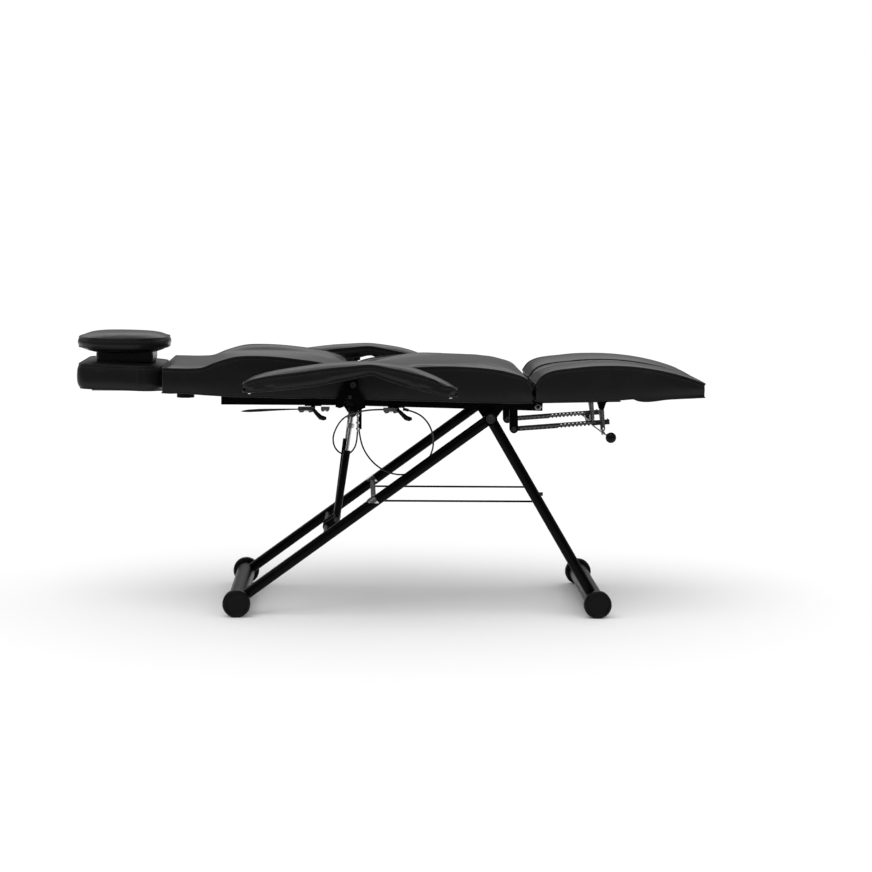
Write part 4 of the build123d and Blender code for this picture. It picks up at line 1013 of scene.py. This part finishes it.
# the headrest's wall is sewn from panels that meet in an upright seam at each front corner

cornerSewing = {"x": -0.7495, "panelSide": 0.0105, "top": 0.738, "bottom": 0.672, "points": 12}


def headCorners(shift):
    tree = treeOf([head.piece.data])
    lines = []
    for side in (-1, 1):
        line = []
        for step in range(cornerSewing["points"] + 1):
            share = step / cornerSewing["points"]
            z = cornerSewing["bottom"] + (cornerSewing["top"] - cornerSewing["bottom"]) * share
            hit = castFrom(tree, (cornerSewing["x"] + shift, side, z), (0, -side, 0))
            if hit:
                line.append(hit)
        lines.append(line)
    return lines


ridgeAlong(head, headCorners(0.0), "cornerSeam", sewing["ridgeRadius"], closed=False)
stitchRow(head, headCorners(-cornerSewing["panelSide"]), "cornerStitches", closed=False)
print("seams sewn")

# Metalwork: what the photograph shows on the frame beyond the plain solids

def linkMetal(label, build, body, slot):
    return linkPiece(label, meshFrom(build, label), body, slot, finishes[slot], hard=True)


def linkTubes(label, body, slot, *tubes):
    # one piece of tubes, each given as its points, radius and sides
    build = bmesh.new()
    for tube in tubes:
        addTube(build, *tube)
    return linkMetal(label, build, body, slot)


cheek = {"hingeX": -0.119, "reach": 0.065, "fromZ": 0.668, "narrowing": 0.46}


def narrowCheeks(node, body):
    # the hinge cheeks stand in the gap between seat and back, so they are narrower than their rail
    mesh = cadNodes[node].data.copy()
    mesh.materials.clear()
    for vertex in mesh.vertices:
        away = vertex.co.x - cheek["hingeX"]
        if vertex.co.z > cheek["fromZ"] and abs(away) < cheek["reach"]:
            vertex.co.x = cheek["hingeX"] + away * cheek["narrowing"]
    piece = linkPiece("rail_" + node, mesh, body, "frame_paint", finishes["frame_paint"], hard=True)
    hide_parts(node)


for side in sideSigns:
    narrowCheeks("seat_rail_" + side, "seat")
    narrowCheeks("back_rail_" + side, "backrest")

ratchet = {
    "start": (0.3990, 0.5605),
    "end": (0.6300, 0.5797),
    "depth": 0.0078,
    "toothPitch": 0.0130,
    "toothDepth": 0.0042,
    "stand": 0.0001,
    "tooth": ((0.0, 0), (0.12, 1), (0.52, 1), (0.66, 0)),
}


def toothedStrip(side):
    # the bright row of teeth along the lower half of a ratchet bar, in bright steel under the bar's dark
    # steel: painted reflection, standing in for one chrome bar that shows the pale floor below it and the
    # dark pad above it
    low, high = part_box("ratchet_bar_" + side)
    (startX, startZ), (endX, endZ) = ratchet["start"], ratchet["end"]
    count = int((endX - startX) / ratchet["toothPitch"])
    slope = (endZ - startZ) / (endX - startX)
    top, bottom = [], []
    for tooth in range(count):
        x = startX + tooth * ratchet["toothPitch"]
        for share, deep in ratchet["tooth"]:
            place = x + share * ratchet["toothPitch"]
            middle = startZ + slope * (place - startX)
            bottom.append((place, middle - ratchet["depth"] + (0 if deep else ratchet["toothDepth"])))
        top.append((x, startZ + slope * (x - startX)))
    top.append((endX, endZ))
    bottom.append((endX, endZ - ratchet["depth"] + ratchet["toothDepth"]))
    build = bmesh.new()
    addPlate(build, top + list(reversed(bottom)), low.y - ratchet["stand"], high.y + ratchet["stand"])
    linkMetal("toothedStrip_" + side, build, "bar_" + side, "bright_steel")


# the pawl's rods, stem and nuts as their ends on the left side

pawl = {
    "rods": (
        ((0.6175, 0.1610, 0.5715), (0.6515, 0.1610, 0.5470)),
        ((0.6175, 0.1676, 0.5715), (0.6515, 0.1676, 0.5470)),
    ),
    "rodRadius": 0.0024,
    "stem": (
        (0.6515, 0.1575, 0.5470), (0.6515, 0.2000, 0.5470), (0.6600, 0.2600, 0.5475),
        (0.6600, 0.2900, 0.5475),
    ),
    "stemRadius": 0.0034,
    "nuts": (
        ((0.6515, 0.155, 0.5470), (0.6515, 0.159, 0.5470)),
        ((0.6515, 0.170, 0.5470), (0.6515, 0.174, 0.5470)),
    ),
    "nutRadius": 0.0062,
    "ball": (0.6600, 0.3000, 0.5475),
    "ballRadius": 0.0160,
    "neck": ((0.6600, 0.278, 0.5475), (0.6600, 0.288, 0.5475)),
    "neckRadii": (0.0062, 0.0084),
    # painted shade: dark steel rims along the flat catch's front and back edges stand in for the shading at
    # the edges of a round chrome catch
    "edges": (
        ((0.6412, 0.1635, 0.6145), (0.6500, 0.1635, 0.5560)),
        ((0.6412, 0.1365, 0.6145), (0.6500, 0.1365, 0.5560)),
    ),
    "edgeRadius": 0.0020,
}


def releaseGrip(side, sign):
    # slanted rods that meet at a cross stem, with a round black grip on its outer end
    links = [(sided(rod, sign), pawl["rodRadius"], 12) for rod in pawl["rods"]]
    links += [(sided(nut, sign), pawl["nutRadius"], 6) for nut in pawl["nuts"]]
    links.append((sided(pawl["stem"], sign), pawl["stemRadius"], 14))
    linkTubes("releaseLinks_" + side, "pawl_" + side, "bright_steel", *links)
    build = bmesh.new()
    addBall(build, *sided((pawl["ball"],), sign), pawl["ballRadius"])
    addTube(build, sided(pawl["neck"], sign), pawl["neckRadii"], 20)
    grip = linkMetal("releaseBall_" + side, build, "pawl_" + side, "black_plastic")
    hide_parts("release_pawl_" + side)
    # painted shade: dark rims on the catch's edges, standing in for the shaded edges of a round chrome
    # catch
    edges = [(sided(edge, sign), pawl["edgeRadius"], 10) for edge in pawl["edges"]]
    linkTubes("catchEdges_" + side, "catch_arm_" + side, "dark_steel", *edges)


for side, sign in sideSigns.items():
    toothedStrip(side)
    releaseGrip(side, sign)

levers = {
    "gripRadii": (0.0036, 0.0050, 0.0058, 0.0064, 0.0076, 0.0070, 0.0040),
    "seatGrip": (
        (0.0215, -0.215, 0.6215), (0.0235, -0.238, 0.6205), (0.0300, -0.254, 0.6170),
        (0.0385, -0.261, 0.6090), (0.0485, -0.263, 0.5995), (0.0585, -0.263, 0.5962),
        (0.0665, -0.263, 0.5972),
    ),
    "backGrip": (
        (-0.2310, -0.215, 0.6215), (-0.2290, -0.238, 0.6205), (-0.2235, -0.254, 0.6165),
        (-0.2160, -0.261, 0.6085), (-0.2065, -0.263, 0.5995), (-0.1965, -0.263, 0.5966),
        (-0.1890, -0.263, 0.5976),
    ),
    "blade": (
        (-0.4430, 0.6155, 0.0008), (-0.4360, 0.6162, 0.0026), (-0.4200, 0.6172, 0.0040),
        (-0.3900, 0.6190, 0.0043), (-0.3600, 0.6204, 0.0036), (-0.3250, 0.6218, 0.0028),
        (-0.2900, 0.6228, 0.0021), (-0.2500, 0.6236, 0.0018), (-0.2250, 0.6232, 0.0018),
    ),
    "bladeY": -0.258,
    "bladeWidening": 2.1,
}


def makeGrips():
    seatGrip = (levers["seatGrip"], levers["gripRadii"], 18)
    grip = linkTubes("seatGrip", "seat_lever_body", "black_plastic", seatGrip)
    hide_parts("seat_lever")
    build = bmesh.new()
    y = levers["bladeY"]
    blade = [(x, y, z) for x, z, radius in levers["blade"]]
    addTube(build, blade, [radius for x, z, radius in levers["blade"]], 18)
    for vertex in build.verts:
        vertex.co.y = y + (vertex.co.y - y) * levers["bladeWidening"]
    addTube(build, levers["backGrip"], levers["gripRadii"], 18)
    grip = linkMetal("backGrip", build, "back_lever_body", "black_plastic")
    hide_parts("back_lever")


makeGrips()

# pins: start and end behind the plate, radius and sides; brackets: left, right, bottom and top

fittings = {
    "plateY": -0.2405,
    "plateGap": 0.022,
    "plateThickness": 0.0014,
    "outline": (
        (0.0, 1.0), (1.0, 1.0), (1.0, 0.55), (0.86, 0.12), (0.66, 0.0), (0.58, 0.40), (0.40, 0.40),
        (0.32, 0.06), (0.12, 0.0), (0.0, 0.45),
    ),
    "pinShares": (0.22, 0.76),
    "pinHeight": 0.42,
    "pins": ((-0.003, 0.027, 0.0024, 12), (-0.0035, -0.0005, 0.0042, 6)),
    "spring": {"radius": 0.0034, "wire": 0.0007, "turns": 9, "steps": 12, "margin": 0.004, "deep": 0.012,
               "height": 0.35},
    "brackets": {
        "backLeverBracket": ("backrest", -0.2745, -0.2235, 0.6110, 0.6275),
        "backCableBracket": ("backrest", -0.2060, -0.1800, 0.6140, 0.6275),
        "seatLeverBracket": ("seat", -0.0190, 0.0290, 0.6100, 0.6260),
    },
}


def leverBracket(label, body, left, right, bottom, top):
    # a bright bent plate with two pins and a return spring, hung under the rail
    build = bmesh.new()
    width, height = right - left, top - bottom
    outline = [(left + width * across, bottom + height * up) for across, up in fittings["outline"]]
    for y in (fittings["plateY"], fittings["plateY"] + fittings["plateGap"]):
        addPlate(build, outline, y, y + fittings["plateThickness"])
    y, z = fittings["plateY"], bottom + height * fittings["pinHeight"]
    for share in fittings["pinShares"]:
        x = left + width * share
        for start, end, radius, sides in fittings["pins"]:
            addTube(build, ((x, y + start, z), (x, y + end, z)), radius, sides)
    spring = fittings["spring"]
    steps = spring["turns"] * spring["steps"]
    coil = []
    for step in range(steps + 1):
        turn = 2 * math.pi * step / spring["steps"]
        x = left + spring["margin"] + (width - 2 * spring["margin"]) * step / steps
        z = bottom + height * spring["height"] + spring["radius"] * math.sin(turn)
        coil.append((x, y + spring["deep"] + spring["radius"] * math.cos(turn), z))
    addTube(build, coil, spring["wire"], 6)
    linkMetal(label, build, body, "bright_steel")


for label, bracket in fittings["brackets"].items():
    leverBracket(label, *bracket)

adjusters = {
    "topZ": 0.597,
    "footZ": 0.531,
    "rodRadius": 0.0027,
    "nutRadius": 0.0056,
    "nutHeight": 0.0045,
    "places": ((-0.0960, -0.0150), (-0.0905, 0.0040)),
    "nuts": (0.538, 0.556, 0.579, 0.590),
}


def makeAdjusters():
    # threaded ends of the two cables, each with its lock nuts
    tubes = []
    for x, y in adjusters["places"]:
        rod = ((x, y, adjusters["footZ"]), (x, y, adjusters["topZ"]))
        tubes.append((rod, adjusters["rodRadius"], 14))
        for z in adjusters["nuts"]:
            nut = ((x, y, z), (x, y, z + adjusters["nutHeight"]))
            tubes.append((nut, adjusters["nutRadius"], 6))
    linkTubes("cableAdjusters", "seat", "bright_steel", *tubes)


makeAdjusters()

screws = {
    "tips": ((-0.4120, 0.6830), (0.1760, 0.6735)),
    "tipHeights": (0.004, 0.0, -0.0016, -0.0026),
    "tipRadii": (0.0030, 0.0048, 0.0042, 0.0022),
    "capSteps": (-0.004, 0.0002, 0.0020, 0.0020, 0.0002),
    "capRadii": (0.0096, 0.0096, 0.0080, 0.0042, 0.0038),
}


def makeScrews():
    # small bright heads: under the armrests' tips and on the leg rests' hinge
    rodLow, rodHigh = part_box("leg_hinge_rod")
    middle = (rodLow + rodHigh) / 2
    for side, sign in sideSigns.items():
        low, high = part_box("arm_pad_" + side)
        y = (low.y + high.y) / 2
        tips = [([(x, y, z + height) for height in screws["tipHeights"]], screws["tipRadii"], 16)
                for x, z in screws["tips"]]
        linkTubes("tipScrews_" + side, "armrest_" + side, "bright_steel", *tips)
        outer = rodLow.y if sign < 0 else rodHigh.y
        cap = [(middle.x, outer + sign * step, middle.z) for step in screws["capSteps"]]
        linkTubes("hingeCap_" + side, "seat", "bright_steel", (cap, screws["capRadii"], 24))


makeScrews()

buffer = {"low": (-0.1310, 0.2825, 0.6360), "high": (-0.1070, 0.2885, 0.6640), "chamfer": 0.003}


def makeBuffers():
    # dark rubber blocks between the hinge cheeks
    lowX, lowY, lowZ = buffer["low"]
    highX, highY, highZ = buffer["high"]
    cut = buffer["chamfer"]
    outline = [(lowX + cut, lowZ), (highX - cut, lowZ), (highX, lowZ + cut), (highX, highZ - cut),
               (highX - cut, highZ), (lowX + cut, highZ), (lowX, highZ - cut), (lowX, lowZ + cut)]
    for side, sign in sideSigns.items():
        build = bmesh.new()
        addPlate(build, outline, sign * lowY, sign * highY)
        linkMetal("hingeBuffer_" + side, build, "seat", "black_plastic")


makeBuffers()
print("metalwork fitted")

# Studio: a pale floor, white surroundings, a soft sun and a bright band behind for the gloss

studio = {
    "floorHalf": 150.0,
    "floorColour": (0.95, 0.95, 0.95),
    "floorCloud": (0.93575, 0.93575, 0.93575),
    "cloudScale": 0.8,
    "floorRoughness": 0.9,
    "ambient": 0.88,
    "frontGlow": 0.07,
    "backGlow": 1.5,
    "ceilingGlow": 0.30,
    "behind": ((0.45, 0.0), (0.75, 1.0)),
    "band": ((0.0, 0.04), (0.20, 0.10), (0.46, 1.0), (0.66, 0.85), (0.88, 0.0)),
    "ceiling": ((0.55, 0.0), (0.88, 1.0)),
    "shadeFrom": -1.2,
    "shadeTo": -2.6,
    "shadeColour": (0.05, 0.05, 0.05),
    "sunStrength": 0.80,
    "sunAngle": 50.0,
    "sunTilt": (18.0, -12.0, 0.0),
}


def makeFloor():
    build = bmesh.new()
    bmesh.ops.create_grid(build, x_segments=4, y_segments=4, size=studio["floorHalf"])
    mesh = bpy.data.meshes.new("studioFloor")
    build.to_mesh(mesh)
    build.free()
    floor = bpy.data.objects.new("studioFloor", mesh)
    scene.collection.objects.link(floor)
    paper = Finish("floorPaper")
    # the floor in front reads as unlit in reflections, like the dark end of a studio
    span = studio["shadeTo"] - studio["shadeFrom"]
    depth = paper.axes(paper.place())[1]
    front = paper.ramp(depth * (1 / span) - studio["shadeFrom"] / span, (0.0, 0.0), (1.0, 1.0))
    pale = paper.blend(paper.noise(studio["cloudScale"]), studio["floorCloud"], studio["floorColour"])
    colour = paper.blend(paper.ray("Glossy") * front, pale, studio["shadeColour"])
    mesh.materials.append(
        paper.finish(Base_Color=colour, Roughness=studio["floorRoughness"], Specular_IOR_Level=0.0))


def makeSurroundings():
    world = bpy.data.worlds.new("studioWorld")
    scene.world = world
    world.use_nodes = True
    sky = Finish("sky", world.node_tree)
    seen, glossy, passed = [sky.ray(kind) for kind in ("Camera", "Glossy", "Transmission")]
    depth, height = sky.axes(sky.add("ShaderNodeTexCoord", out="Generated"))[1:]
    behind = sky.ramp(depth * 0.5 + 0.5, *studio["behind"])
    band = sky.ramp(height, *studio["band"])
    top = sky.ramp(height, *studio["ceiling"])
    glow = studio["frontGlow"] + behind * band * studio["backGlow"] + top * studio["ceilingGlow"]
    unseen = glossy * glow + (1 - glossy) * studio["ambient"]
    strength = seen + (1 - seen) * (passed + (1 - passed) * unseen)
    shade = sky.add("ShaderNodeBackground", None, {"Color": (1, 1, 1, 1), "Strength": strength})
    sky.add("ShaderNodeOutputWorld", None, {"Surface": shade})


def makeLamps():
    sun = bpy.data.lights.new("softSun", "SUN")
    sun.energy = studio["sunStrength"]
    sun.angle = math.radians(studio["sunAngle"])
    lamp = bpy.data.objects.new("softSun", sun)
    lamp.rotation_euler = [math.radians(turn) for turn in studio["sunTilt"]]
    scene.collection.objects.link(lamp)


makeFloor()
makeSurroundings()
makeLamps()
scene.view_settings.view_transform = "Standard"
print("studio lit")
